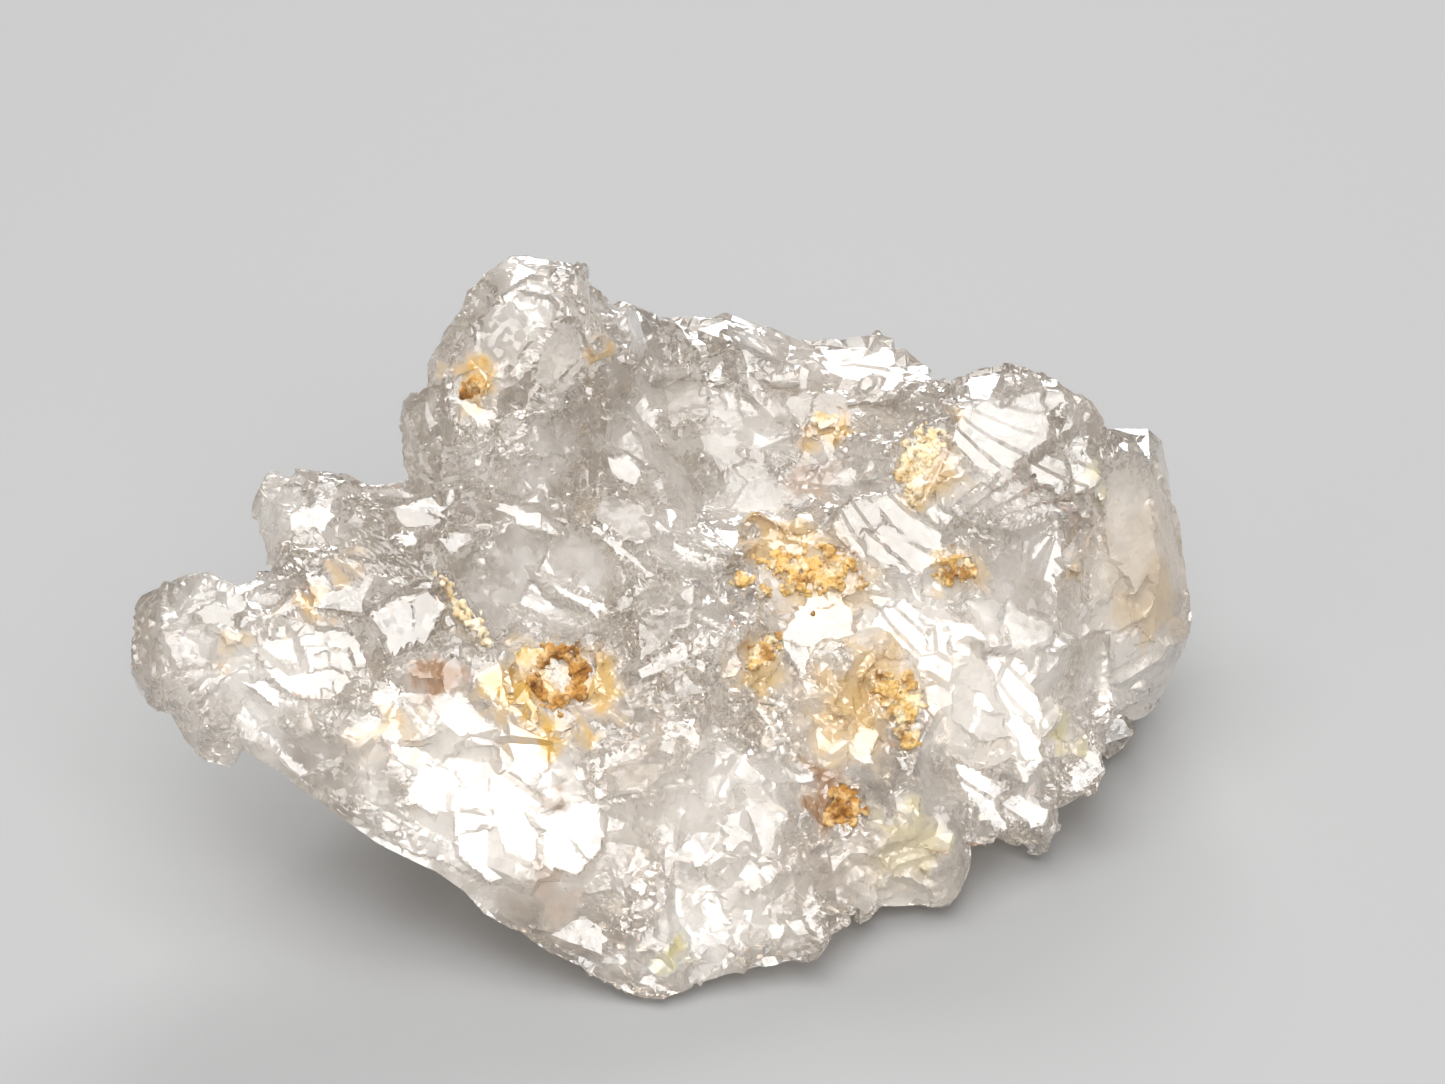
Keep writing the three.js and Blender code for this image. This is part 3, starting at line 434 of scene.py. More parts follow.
SIZE_RANGE = (0.6, 1.6)  # how much a grain's size varies
GRAIN_APART = 0.8  # from one grain to the next, in their sizes
RISING = 0.55  # share of grains that stand out, and the others are sunk in
HIDDEN_DEPTH = -12.0  # mm, points further back than this are at the back
HIDDEN_FACING = -0.3  # and so are those that face further away than this
HIDDEN_SIZE = 1.4  # grains there are this many times as large
HIDDEN_RELIEF = 0.12  # and this is their relief
FORWARD = 0.1  # points that face the camera more than this can be on a flat
NORMAL_EASING = 6  # rounds in which each point's normal is averaged with its neighbours'

# The pits that hold clay
LUMP_EDGE = 90  # percentile of a lump's corners at which its edge lies
PIT_EDGE = 0.65  # mm, from the edge of a lump to that of its pit
PIT_RIM = 1.4  # mm, from the edge of a lump to the outside of the rim around its pit
PIT_DEEP = 0.2  # mm, from the rim down to the ground that the clay lies on
PIT_LAYER = 2.0  # mm, how much deeper or higher than the lump its pit goes
PIT_FORWARD = 0.3  # points of the rim face the camera more than this
PIT_RAISED = 0.02  # mm, points raised more than this are on the new ground


def on_solid(points, node):
    """Each point moved to the nearest place on a node's solid, and the plane of the face that it is on."""
    corners = [v.co / MM for v in node.data.vertices]
    tree = BVHTree.FromPolygons(corners, [p.vertices[:] for p in node.data.polygons])
    found = [tree.find_nearest(p)[:2] for p in points]
    return np.array([f[0] for f in found]), np.array([f[1] for f in found])


def nearest_layer(outline, seen, depth, forward):
    """The points inside an outline, as seen, but none that lie much deeper than the nearest of them."""
    found = forward & inside(outline, seen)
    if found.any():
        found &= depth > np.percentile(depth[found], NEAR_PART) - LAYER
    return found


def flatten(points, normals, planes, own, shine, lean=0, way=None):
    """Moves a set of points onto a flat that is turned to the softbox by the share given, and then
    leaned. It is broken into low steps that face nearly one way, drawn out along the way given."""
    middle = points[own].mean(0)
    facing = unit(normals[own].mean(0))
    facing = unit(unit((1 - shine) * facing + shine * towards_softbox(middle[None])[0]) + lean)
    places = points[own]
    sites = places[scatter(places, np.full(len(places), FLAT_STEP))]
    if not len(sites):
        sites = middle[None]
    apart = places[:, None] - sites
    if way is not None:
        apart -= STEP_LONG * (apart @ way)[..., None] * way
    part = np.sum(apart**2, 2).argmin(1)
    shift = np.clip((middle - sites) @ facing, -FLAT_MOST, FLAT_MOST)
    sites = sites + shift[:, None] * facing
    turned = unit(facing + rng.normal(0, FLAT_WANDER, sites.shape))
    step = np.sum((sites[part] - places) * turned[part], 1)
    points[own] += np.clip(step, -STEP_MOST, STEP_MOST)[:, None] * turned[part]
    planes[own] = turned[part]


def flattened(points, normals, planes, seen):
    """Cuts the broad flats, and returns which points are on them."""
    depth = to_show(points)[:, 2]
    forward = normals @ OUT > FORWARD
    flat = np.zeros(len(points), bool)
    for shine, outline in FLATS:
        own = nearest_layer(outline, seen, depth, forward)
        if own.any():
            flatten(points, normals, planes, own, shine)
            flat |= own
    return flat


def ribbed(points, normals, planes, seen):
    """Raises the ribs of the fans, and returns which points are on them."""
    depth = to_show(points)[:, 2]
    forward = normals @ OUT > FORWARD
    on_fan = np.zeros(len(points), bool)
    for shine, way, width, height, outline in FANS:
        own = nearest_layer(outline, seen, depth, forward)
        across = turned_from_show(-way[1], way[0], 0)
        along = turned_from_show(*way, 0)
        # leaned back, so that the ribs' gentle sides are what faces the softbox
        flatten(points, normals, planes, own, shine, height / width / RIB_BACK * across, along)
        pivot = np.mean(outline, 0) - FAN_REACH * np.array(way)
        x, y = (seen[own] - pivot).T
        bearing = np.arctan2(y, x)
        rib, phase = np.divmod(bearing * FAN_REACH / width, 1)
        rib = (rib - rib.min()).astype(int)
        rising = phase < RIB_BACK
        share = np.where(rising, phase / RIB_BACK, (1 - phase) / (1 - RIB_BACK))
        slope = height / width / np.where(rising, RIB_BACK, RIB_BACK - 1)
        turn = rng.normal(0, RIB_WANDER, (rib.max() + 1, 1))[rib]
        facing = unit(planes[own] + turn * along)
        points[own] += (height * (share - 0.5))[:, None] * facing
        planes[own] = unit(facing - slope[:, None] * across)
        on_fan |= own
    return on_fan


def clay_spots(name, seen, depth):
    """Where each point is next to a lump of clay, as seen: 0 at its middle and 1 at its edge. Points
    that lie much deeper or higher are infinitely far. Also half the lump's width, in mm."""
    corners = points_of(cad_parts[name].data) / MM
    level = to_show(corners)[:, 2].mean()
    corners = as_seen(corners)
    middle = corners.mean(0)
    shape = np.linalg.inv(np.cov((corners - middle).T))
    edge = np.percentile(np.sum((corners - middle) @ shape * (corners - middle), 1), LUMP_EDGE)
    away = np.sqrt(np.sum((seen - middle) @ shape * (seen - middle), 1) / edge)
    away[np.abs(depth - level) > PIT_LAYER] = np.inf
    half = np.linalg.det(shape) ** -0.25 * math.sqrt(edge)
    return away, half


def filled(points, normals, planes, seen):
    """Raises the pits that hold clay to just below their rims."""
    depth = to_show(points)[:, 2]
    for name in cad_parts:
        if name.startswith("clay"):
            away, half = clay_spots(name, seen, depth)
            forward = normals @ OUT > PIT_FORWARD
            rim = (away > 1 + PIT_EDGE / half) & (away < 1 + PIT_RIM / half) & forward
            own = away < 1 + PIT_EDGE / half
            fit = np.column_stack([seen, np.ones(len(seen))])
            level = np.linalg.lstsq(fit[rim], depth[rim], rcond=None)[0]
            rise = np.maximum(0, fit[own] @ level - PIT_DEEP - depth[own])
            points[own] += rise[:, None] * OUT
            facing = unit(turned_from_show(-level[0], -level[1], 1))
            raised = np.flatnonzero(own)[rise > PIT_RAISED]
            planes[raised] = normals[raised] = facing


def grained(points, normals, planes, seen, bare, hidden):
    """Plants grains all over, few of them on the flats. Gives the points that they cover their planes,
    and returns how far they move each point."""
    size = blended(seen, SIZE, SIZE_ZONES) * rng.uniform(*SIZE_RANGE, len(points))
    size[hidden] *= HIDDEN_SIZE
    size[bare] *= FLAT_GRAIN
    relief = np.where(hidden, HIDDEN_RELIEF, blended(seen, RELIEF, RELIEF_ZONES))
    cover = np.where(bare, FLAT_COVER, blended(seen, COVER, COVER_ZONES))
    catching = np.where(hidden, 0, blended(seen, CATCHING, CATCHING_ZONES))
    sites = scatter(points, GRAIN_APART * size)
    sites = sites[rng.random(len(sites)) < cover[sites]]
    rising = rng.random(len(sites)) < RISING
    moved = np.zeros(len(points))
    for sign, own in ((1, sites[rising]), (-1, sites[~rising])):
        grains = Grains(points[own], normals[own], size[own], relief[own], catching[own])
        height, plane, grain = grains.over(points, normals, sign)
        covered = (sign * height > 0) & (bare[own[grain]] | ~bare)
        moved[covered] = height[covered]
        planes[covered] = plane[covered]
    return moved[:, None] * normals


def thinned(piece, hidden):
    """The piece's mesh with fewer triangles, first of all where it is hidden."""
    loss = piece.vertex_groups.new(name="loss")
    for behind, share in ((True, 1.0), (False, SHOWN_LOSS)):
        loss.add(np.flatnonzero(hidden == behind).tolist(), share, "REPLACE")
    ratio = min(1, MOST_TRIANGLES / (2 * len(piece.data.polygons)))
    settings = {"ratio": ratio, "vertex_group": "loss", "vertex_group_factor": 1.0}
    return modified(piece, "DECIMATE", use_collapse_triangulate=True, **settings)


def crystal():
    """Makes the crystal's piece, and returns its surface as it was before it was thinned."""
    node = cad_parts["goshenite_crystal"]
    mesh = node.data.copy()
    mesh.transform(Matrix.Diagonal((1 / MM, 1 / MM, 1 / MM, 1)))
    piece = link(mesh, "crystal")
    mesh = modified(piece, "REMESH", mode="VOXEL", voxel_size=VOXEL, adaptivity=0)

    normals, edges = normals_of(mesh), edges_of(mesh)
    points, planes = on_solid(points_of(mesh), node)
    for _ in range(NORMAL_EASING):
        normals = unit(normals + gather(edges, normals))
    points = sharpened(points, planes, edges)
    seen = as_seen(points)
    filled(points, normals, planes, seen)
    bare = flattened(points, normals, planes, seen)
    bare |= ribbed(points, normals, planes, seen)

    hidden = (to_show(points)[:, 2] < HIDDEN_DEPTH) | (normals @ OUT < HIDDEN_FACING)
    points = points + grained(points, normals, planes, seen, bare, hidden)
    points = eased(points, edges)
    points = sharpened(points, planes, edges)
    points[:, 2] = np.maximum(points[:, 2], 0)

    mesh.vertices.foreach_set("co", points.ravel())
    mesh.update()
    painted(thinned(piece, hidden))
    dressed(piece, goshenite(), "goshenite_crystal", "goshenite")
    return points


def dressed(piece, material, node, slot):
    """Gives a piece worked out in millimetres its material and its place in the frame."""
    mesh = piece.data
    mesh.transform(Matrix.Diagonal((MM, MM, MM, 1)))
    mesh.polygons.foreach_set("use_smooth", np.zeros(len(mesh.polygons), bool))
    mesh.materials.clear()
    mesh.materials.append(material)
    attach(piece, "root")
    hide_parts(node)


# ---- The clay ----

CLAY_VOXEL = 0.05  # mm
CRUMB = (0.06, 0.24)  # mm, radius, small ones the most common
CRUMB_STRETCH = (0.6, 1.2)
CRUMB_UNEVEN = (0.8, 1.2)
CRUMB_SHARE = 0.8  # of the points of the ground, where the clay is thick
PATCH = 0.95  # where it ends, next to its middle at 0 and its lump's edge at 1
PATCH_FALL = 1.8  # how fast it thins out there
PATCH_WANDER = 1.1  # how ragged it is
PATCH_WAVES = [(1, 1.1), (0.5, 2.5)]  # what that follows, each so strong and so many to a mm
PATCH_MOST = 1.5  # it has no crumbs further out than this
BULGE = 0.12  # mm, how much higher its middle is
PILE = 0.09  # mm, how uneven it is
ROUGH = 0.09  # mm, how rough its crumbs are
ROUGH_WAVES = [(1, 4), (0.6, 9)]
HOLE = 0.65  # mm, radius of a ring's middle


def crumb_ball(place, radius):
    """Corners and faces of a small uneven lump."""
    ball = bmesh.new()
    bmesh.ops.create_icosphere(ball, subdivisions=1, radius=1)
    stretch = radius * rng.uniform(*CRUMB_STRETCH, 3)
    uneven = rng.uniform(*CRUMB_UNEVEN, (len(ball.verts), 1))
    corners = np.array([v.co for v in ball.verts]) * stretch * uneven
    faces = [[v.index for v in f.verts] for f in ball.faces]
    ball.free()
    return corners + place, faces


def wavy(points, waves):
    """A smooth random value for each point: the sum of waves, each so strong and so many to a mm."""
    return np.array([sum(share * noise.noise(Vector(p * scale)) for share, scale in waves) for p in points])


def clay(name, slot, material, ground):
    """A patch of crumbs where the clay's lump is, or a ring of them with an open middle."""
    node_name = "clay_" + name
    seen, depth = as_seen(ground), to_show(ground)[:, 2]
    away, _ = clay_spots(node_name, seen, depth)
    near = away < PATCH_MOST
    ground, seen, away = ground[near], seen[near], away[near]
    wander = wavy(ground, PATCH_WAVES)
    thick = np.clip(PATCH_FALL * (PATCH - away) + PATCH_WANDER * wander, 0, 1)
    if name == CLAY_RING:
        middle = as_seen(points_of(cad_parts[node_name].data) / MM).mean(0)
        thick[np.hypot(*(seen - middle).T) < HOLE] = 0
    own = rng.random(len(ground)) < CRUMB_SHARE * thick
    rise = BULGE * thick[own] + rng.normal(0, PILE, own.sum())
    soup, soup_faces, count = [], [], 0
    for place in ground[own] + rise[:, None] * OUT:
        radius = CRUMB[0] + (CRUMB[1] - CRUMB[0]) * rng.random() ** 2
        corners, faces = crumb_ball(place, radius)
        soup.append(corners)
        soup_faces += [[i + count for i in f] for f in faces]
        count += len(corners)
    mesh = bpy.data.meshes.new(node_name)
    mesh.from_pydata(np.concatenate(soup).tolist(), [], soup_faces)
    piece = link(mesh, name + "_clay")
    mesh = modified(piece, "REMESH", mode="VOXEL", voxel_size=CLAY_VOXEL, adaptivity=0)
    points, normals = points_of(mesh), normals_of(mesh)
    points = points + ROUGH * wavy(points, ROUGH_WAVES)[:, None] * normals
    mesh.vertices.foreach_set("co", points.ravel())
    dressed(piece, material, node_name, slot)


# ---- Materials ----


class Nodes:
    """Adds nodes to a material and links them."""

    def __init__(self, name):
        self.material = bpy.data.materials.new(name)
        self.material.use_nodes = True
        self.tree = self.material.node_tree
        self.tree.nodes.clear()
        self.output = self.add("ShaderNodeOutputMaterial")
        self.shader = self.add("ShaderNodeBsdfPrincipled")
        self.join(self.shader, "BSDF", self.output, "Surface")
        self.place = self.add("ShaderNodeTexCoord").outputs["Object"]

    def add(self, kind, sockets=None, **settings):
        node = self.tree.nodes.new(kind)
        for key, value in settings.items():
            setattr(node, key, value)
        for key, value in (sockets or {}).items():
            if isinstance(value, bpy.types.NodeSocket):
                self.tree.links.new(value, node.inputs[key])
            else:
                node.inputs[key].default_value = value
        return node

    def join(self, source, output, target, socket):
        self.tree.links.new(source.outputs[output], target.inputs[socket])

    def noise(self, scale, detail=3.0):
        sockets = {"Vector": self.place, "Scale": scale, "Detail": detail}
        return self.add("ShaderNodeTexNoise", sockets).outputs["Fac"]

    def spread(self, value, start, end, low, high):
        """Takes a value that goes from start to end to one that goes from low to high."""
        limits = {"Value": value, "From Min": start, "From Max": end, "To Min": low, "To Max": high}
        return self.add("ShaderNodeMapRange", limits).outputs["Result"]

    def stored(self, name, output="Fac"):
        return self.add("ShaderNodeAttribute", attribute_name=name).outputs[output]

    def vector(self, operation, a, b, output="Vector"):
        return self.add("ShaderNodeVectorMath", {0: a, 1: b}, operation=operation).outputs[output]

    def math(self, a, b, operation="ADD"):
        return self.add("ShaderNodeMath", {0: a, 1: b}, operation=operation).outputs["Value"]

    def mixed(self, share, a, b, **settings):
        """Colour a, going to colour b by the share."""
        mix = self.add("ShaderNodeMix", {"Factor": share}, data_type="RGBA", **settings)
        # a mix node has sockets for each kind of data, and these are the ones for colours
        first, second, result = mix.inputs[6], mix.inputs[7], mix.outputs[2]
        for socket, colour in ((first, a), (second, b)):
            if isinstance(colour, bpy.types.NodeSocket):
                self.tree.links.new(colour, socket)
            else:
                socket.default_value = (*colour, 1)
        return result

    def set(self, **sockets):
        """Sets or links the shader's sockets, each by its name with _ for a space."""
        for name, value in sockets.items():
            socket = self.shader.inputs[name.replace("_", " ")]
            if isinstance(value, bpy.types.NodeSocket):
                self.tree.links.new(value, socket)
            elif isinstance(value, tuple):
                socket.default_value = (*value, 1)
            else:
                socket.default_value = value


GOLDEN = (0.72, 0.47, 0.13)
BROWN = (0.33, 0.17, 0.06)
OLIVE = (0.62, 0.58, 0.33)
# painted shade: a darker beige that stands in for shade on the column and the lobe at the lower right
PAINTED_SHADE_BEIGE = (0.74, 0.64, 0.51)
# painted shade: a faint umber that stands in for shade in the trough
PAINTED_SHADE_UMBER = (0.35, 0.26, 0.17)
# Stains on and just under the surface, and painted shade (the beige and umber rows) that darkens the
# column, the lobe at the lower right and the trough: u, v as seen, radius in mm, how strong, and colour.
STAINS_AND_PAINTED_SHADE = [
    (4.1, -1.0, 3.2, 0.6, GOLDEN),
    (2.2, 0.6, 2.0, 0.7, GOLDEN),
    (1.0, 1.6, 1.6, 0.5, GOLDEN),
    (-7.9, -5.6, 1.9, 1.0, GOLDEN),
    (-6.5, -7.2, 1.7, 1.0, GOLDEN),
    (-5.2, -5.2, 1.8, 0.9, GOLDEN),
    (-7.4, -3.9, 1.3, 1.0, GOLDEN),
    (8.2, 3.2, 2.0, 0.7, GOLDEN),
    (8.9, -1.3, 1.5, 0.7, GOLDEN),
    (6.6, -5.4, 2.9, 0.7, GOLDEN),
    (5.3, -7.2, 2.6, 0.7, GOLDEN),
    (4.6, -9.8, 1.8, 0.9, BROWN),
    (1.7, -4.4, 2.0, 0.8, GOLDEN),
    (-11.0, -5.4, 1.7, 0.9, BROWN),
    (-13.3, -7.0, 1.6, 0.6, GOLDEN),
    (-16.9, -2.4, 1.1, 0.8, GOLDEN),
    (-15.0, -0.6, 1.0, 0.6, GOLDEN),
    (-20.0, -4.4, 1.0, 0.5, GOLDEN),
    (-10.3, 6.2, 1.5, 1.0, GOLDEN),
    (-4.4, 7.4, 1.0, 0.8, GOLDEN),
    (4.2, 4.9, 1.4, 0.9, GOLDEN),
    (-1.6, -16.5, 1.0, 1.0, OLIVE),
    (7.8, -12.2, 2.2, 0.8, OLIVE),
    (8.5, -12.5, 0.5, 1.0, BROWN),
    (14.3, -8.1, 1.2, 0.8, OLIVE),
    (15.4, 2.0, 1.1, 0.8, OLIVE),
    (14.6, -1.1, 1.1, 0.7, GOLDEN),
    (17.9, -2.6, 2.2, 0.6, GOLDEN),
    (-6.5, -10.4, 0.9, 0.7, BROWN),
    (-6.3, -14.2, 1.6, 0.5, BROWN),
    (3.8, 2.8, 1.6, 0.6, BROWN),
    # painted shade, darker beige, on the column and on the lobe at the lower right
    (17.8, -1.0, 5.0, 0.5, PAINTED_SHADE_BEIGE),
    (7.5, -13.0, 3.0, 0.4, PAINTED_SHADE_BEIGE),
    # painted shade in the trough, a faint umber
    (4.5, 6.5, 4.5, 0.22, PAINTED_SHADE_UMBER),
    (-1.0, 4.5, 4.5, 0.1, PAINTED_SHADE_UMBER),
    (9.0, 5.2, 1.0, 0.6, GOLDEN),
    (7.3, 2.3, 1.0, 0.7, GOLDEN),
]
# Where the crystal is frosted white: u, v as seen, radius in mm and how strongly.
FROST = [
    (-16.8, -5.0, 3.2, 0.8),
    (-12.5, -8.0, 3.5, 1.0),
    (-9.0, -10.5, 4.5, 1.3),
    (-5.5, -12.0, 4.0, 1.0),
    (11.5, 4.2, 3.2, 0.3),
    (6.3, 0.4, 2.4, 0.2),
    (11.4, -6.0, 4.6, 1.6),
    (7.3, -3.7, 2.6, 1.0),
    (3.6, -3.2, 2.0, 0.5),
    (0.5, -13.0, 5.0, 0.7),
    (-21.3, -4.3, 2.8, 0.5),
    (-2.5, -8.5, 4.0, 0.5),
    (-16.0, 1.0, 2.2, 0.4),
    (-7.5, 10.4, 1.6, 0.5),
    (7.5, -13.0, 3.0, 0.7),
    (17.8, -1.0, 4.5, 0.1),
]
# Where it is dull: the same.
DULL = [
    (-2.5, 4.5, 5.0, 0.45),
    (3.0, 5.0, 5.5, 0.45),
    (-8.2, 6.5, 4.0, 0.3),
    (17.8, -1.0, 4.5, 0.8),
    (-21.5, -4.5, 3.0, 0.4),
    (7.5, -13.0, 3.5, 0.5),
    (11.8, 4.4, 3.2, 0.35),
    (6.4, 0.4, 2.8, 0.45),
    (4.8, 7.4, 3.0, 0.4),
]
SOLID = 0.4  # share of a stain's, a painted shade's or a frosted spot's radius over which it is at its full strength
DULL_SOLID = 0.6
RAGGED = 1.1  # mm, how far the edges of the spots wander
RAGGED_WAVES = [(1, 0.9), (0.5, 2.2)]
SPOT_NEAR = 0.5  # mm, as seen, within which a spot's middle is looked for

IOR = 1.58  # of beryl
ABSORBED = (0.98, 0.92, 0.84)  # the colour that light takes on inside the crystal
ABSORBED_DENSITY = 38  # to a metre
CLEAR_COLOUR = (0.97, 0.93, 0.88)
CLOUDY_COLOUR = (0.95, 0.87, 0.78)
CLOUDS = 260  # to a metre
CLOUD_SHADES = (0.3, 0.7)  # levels of the clouds' noise, from the cloudy colour to the clear one
CLOUD_MILK = (0.46, 0.7)  # and from clear to milky
MOST_MILK = 2  # with the frost on top
COAT_ROUGHNESS = 0.08
# From where the crystal is clear, shiny and clean to where it is milky, dull, stained or darkened by
# painted shade.
ROUGHNESS = (0.03, 0.28)
ROUGHNESS_DULL = 0.14  # added
TRANSMISSION = (0.92, 0.35)
TRANSMISSION_UNDER_STAIN_AND_SHADE = 0.15  # share that is left where stained or darkened by painted shade
COAT = (1.0, 0.2)
GLINT = 0.3  # mm, across the smallest facets, which are only in the shading
GLINT_SLOPE = 0.1

# Each kind of clay: its slot, its dark, middle and pale colours, and where it lies.
CLAYS = [
    (
        "golden_clay",
        [(0.36, 0.18, 0.05), (0.72, 0.47, 0.17), (0.86, 0.74, 0.5)],
        ["centre_pit", "right_pit", "lower_right", "middle_crumb", "small_crumb"],
    ),
    (
        "rust_clay",
        [(0.22, 0.09, 0.02), (0.5, 0.25, 0.06), (0.74, 0.52, 0.25)],
        ["lower_pit", "fin_pit", "left_pit"],
    ),
    (
        "pale_clay",
        [(0.6, 0.43, 0.22), (0.82, 0.68, 0.44), (0.92, 0.85, 0.7)],
        ["top_vein", "left_seam", "upper_crumb"],
    ),
]
CLAY_RING = "left_pit"
CLAY_ROUGHNESS = 0.92
CLAY_DETAIL = 5
CLAY_SPOTS = 1100  # to a metre
CLAY_SPOT_SHADES = (0.38, 0.55)  # levels of their noise, from the dark colour to the middle one
CLAY_FLECKS = 1700  # to a metre
CLAY_FLECK_SHADES = (0.48, 0.66)  # levels of theirs, from there to the pale one
CLAY_GRAIN = 9000  # to a metre
CLAY_GRAIN_DETAIL = 4
CLAY_GRAIN_HEIGHT = 0.08  # mm
CLAY_GRAIN_STRENGTH = 0.6


def spots(points, table, solid):
    """Round ragged masks on the show face, one for each line of a table that starts with u, v, a
    radius and a strength. Each is solid out to that share of its radius."""
    depth = to_show(points)[:, 2]
    seen = as_seen(points)
    drift = np.zeros_like(points)
    for share, scale in RAGGED_WAVES:
        drift += share * np.array([noise.noise_vector(Vector(p * scale)) for p in points])
    for u, v, radius, strength, *rest in table:
        around = np.hypot(seen[:, 0] - u, seen[:, 1] - v) < SPOT_NEAR
        middle = points[around][depth[around].argmax()]
        away = np.linalg.norm(points + RAGGED * drift - middle, axis=1)
        yield strength * np.clip((radius - away) / (radius * (1 - solid)), 0, 1), *rest


def keep(mesh, name, values):
    """Stores a value or a colour for each corner of a mesh, for its material to read."""
    colours = values.ndim == 2
    attribute = mesh.attributes.new(name, "FLOAT_COLOR" if colours else "FLOAT", "POINT")
    if colours:
        values = np.concatenate([values, np.ones((len(values), 1))], 1)
    attribute.data.foreach_set("color" if colours else "value", values.ravel())


def painted(mesh):
    """Stores where the crystal is stained or darkened by painted shade, frosted and dull."""
    points = points_of(mesh)
    tint = np.ones((len(points), 3))
    stain_and_shade, dull, frost = np.zeros((3, len(points)))
    # the stains table also holds the painted shade of the column, the lower right lobe and the trough
    for share, colour in spots(points, STAINS_AND_PAINTED_SHADE, SOLID):
        tint += share[:, None] * (np.array(colour) - tint)
        stain_and_shade = np.maximum(stain_and_shade, share)
    for (share,) in spots(points, FROST, SOLID):
        frost += share
    for (share,) in spots(points, DULL, DULL_SOLID):
        dull = np.maximum(dull, share)
    keep(mesh, "tint", tint)
    keep(mesh, "stain_and_shade", stain_and_shade)
    keep(mesh, "frost", frost)
    keep(mesh, "dull", dull)


def goshenite():
    """Clear crystal, cloudy in places, with a coat for its polished faces and glints in its shading."""
    n = Nodes("goshenite")
    n.set(IOR=IOR, Coat_Roughness=COAT_ROUGHNESS, Coat_IOR=IOR)
    sockets = {"Color": (*ABSORBED, 1), "Density": ABSORBED_DENSITY}
    n.join(n.add("ShaderNodeVolumeAbsorption", sockets), "Volume", n.output, "Volume")

    cloud = n.noise(CLOUDS)
    colour = n.mixed(n.spread(cloud, *CLOUD_SHADES, 0, 1), CLOUDY_COLOUR, CLEAR_COLOUR)
    # the tint holds the stains and the painted shade
    colour = n.mixed(1.0, colour, n.stored("tint", "Color"), blend_type="MULTIPLY")
    milky = n.math(n.spread(cloud, *CLOUD_MILK, 0, 1), n.stored("frost"))
    dull, stain_and_shade = n.stored("dull"), n.stored("stain_and_shade")
    rough = n.math(n.spread(milky, 0, 1, *ROUGHNESS), n.spread(dull, 0, 1, 0, ROUGHNESS_DULL))
    # less light goes through where stained and where painted shade darkens the crystal
    clear_of_stain_and_shade = n.spread(stain_and_shade, 0, 1, 1, TRANSMISSION_UNDER_STAIN_AND_SHADE)
    clear = n.math(n.spread(milky, 0, MOST_MILK, *TRANSMISSION), clear_of_stain_and_shade, "MULTIPLY")
    coat = n.spread(dull, 0, 1, *COAT)
    n.set(Base_Color=colour, Roughness=rough, Transmission_Weight=clear, Coat_Weight=coat)

    cells = n.add("ShaderNodeTexVoronoi", {"Vector": n.place, "Scale": 1 / (GLINT * MM)})
    slope = n.vector("SUBTRACT", cells.outputs["Color"], (0.5, 0.5, 0.5))
    apart = n.vector("SUBTRACT", n.place, cells.outputs["Position"])
    height = n.vector("DOT_PRODUCT", apart, slope, output="Value")
    bump = n.add("ShaderNodeBump", {"Height": height, "Strength": 1, "Distance": 2 * GLINT_SLOPE})
    n.set(Normal=bump.outputs["Normal"])
    return n.material


def clay_material(name, dark, middle, pale):
    """Dull clay, dark with middle spots and pale flecks, and a fine grain in its shading."""
    n = Nodes(name)
    in_spots = n.spread(n.noise(CLAY_SPOTS, CLAY_DETAIL), *CLAY_SPOT_SHADES, 0, 1)
    in_flecks = n.spread(n.noise(CLAY_FLECKS, CLAY_DETAIL), *CLAY_FLECK_SHADES, 0, 1)
    colour = n.mixed(in_flecks, n.mixed(in_spots, dark, middle), pale)
    grain = n.noise(CLAY_GRAIN, CLAY_GRAIN_DETAIL)
    sockets = {"Height": grain, "Strength": CLAY_GRAIN_STRENGTH, "Distance": CLAY_GRAIN_HEIGHT * MM}
    bump = n.add("ShaderNodeBump", sockets)
    n.set(Base_Color=colour, Roughness=CLAY_ROUGHNESS, Normal=bump.outputs["Normal"])
    return n.material


# ---- Studio ----

FLOOR_HALF = 3.0  # m
FLOOR_GREY = 0.36
FLOOR_ROUGHNESS = 0.8
FLOOR_DOWN = 0.00002  # m, just below what stands on it
WORLD_GREY = 0.5
WORLD_STRENGTH = 0.45
AIM = (0, 0, 0.01)  # m, what the lights are turned to
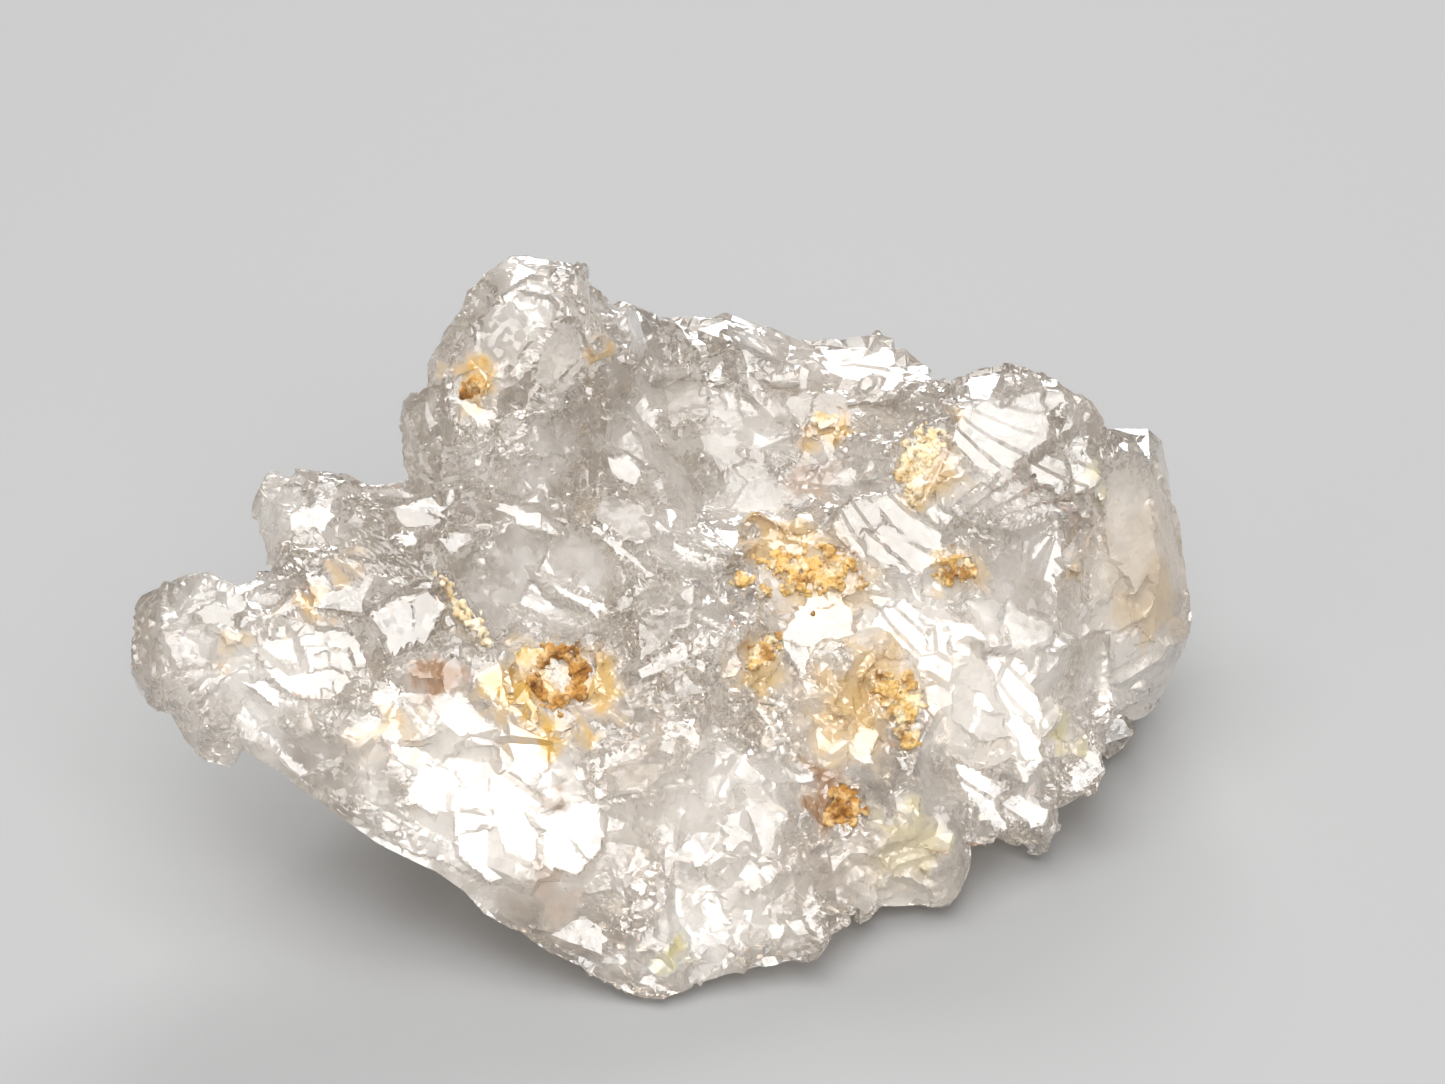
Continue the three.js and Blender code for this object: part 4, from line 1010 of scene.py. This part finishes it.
# Each light's name, place in m, size in m and power in W.
LIGHTS = [
    ("softbox", tuple(SOFTBOX * MM), (0.28, 0.28), 1.35),
    ("top", (-0.06, -0.04, 0.45), (0.4, 0.4), 1.6),
    ("back", (0.05, 0.4, 0.3), (0.3, 0.15), 1.4),
    ("fill", (-0.35, -0.35, 0.3), (0.3, 0.3), 0.3),
]


def area_light(name, place, size, watts):
    light = bpy.data.lights.new(name, "AREA")
    light.shape = "RECTANGLE"
    light.size, light.size_y = size
    light.energy = watts
    piece = bpy.data.objects.new(name, light)
    piece.location = place
    piece.rotation_euler = (Vector(AIM) - Vector(place)).to_track_quat("-Z", "Y").to_euler()
    bpy.context.scene.collection.objects.link(piece)


def grey(level):
    return (level, level, level)


def floor():
    mesh = bpy.data.meshes.new("floor")
    corners = [(x * FLOOR_HALF, y * FLOOR_HALF, 0) for x, y in ((-1, -1), (1, -1), (1, 1), (-1, 1))]
    mesh.from_pydata(corners, [], [(0, 1, 2, 3)])
    piece = link(mesh, "floor")
    n = Nodes("floor")
    n.set(Base_Color=grey(FLOOR_GREY), Roughness=FLOOR_ROUGHNESS)
    mesh.materials.append(n.material)
    piece.location.z = -FLOOR_DOWN


def studio():
    floor()
    for light in LIGHTS:
        area_light(*light)
    world = bpy.data.worlds.new("studio")
    world.use_nodes = True
    background = world.node_tree.nodes["Background"]
    background.inputs["Color"].default_value = (*grey(WORLD_GREY), 1)
    background.inputs["Strength"].default_value = WORLD_STRENGTH
    bpy.context.scene.world = world
    bpy.context.scene.view_settings.view_transform = "Standard"


def camera():
    data = bpy.data.cameras.new("camera")
    data.lens = CAMERA_LENS
    data.clip_start = CAMERA_CLIP
    piece = bpy.data.objects.new("camera", data)
    piece.rotation_euler = (SHOW_SLOPE, 0, 0)
    piece.location = Vector(from_show(0, 0, CAMERA_AWAY)) * MM
    bpy.context.scene.collection.objects.link(piece)
    bpy.context.scene.camera = piece


# ---- The scene ----

camera()
studio()
ground = crystal()
for slot, colours, names in CLAYS:
    material = clay_material(slot, *colours)
    for name in names:
        clay(name, slot, material, ground)
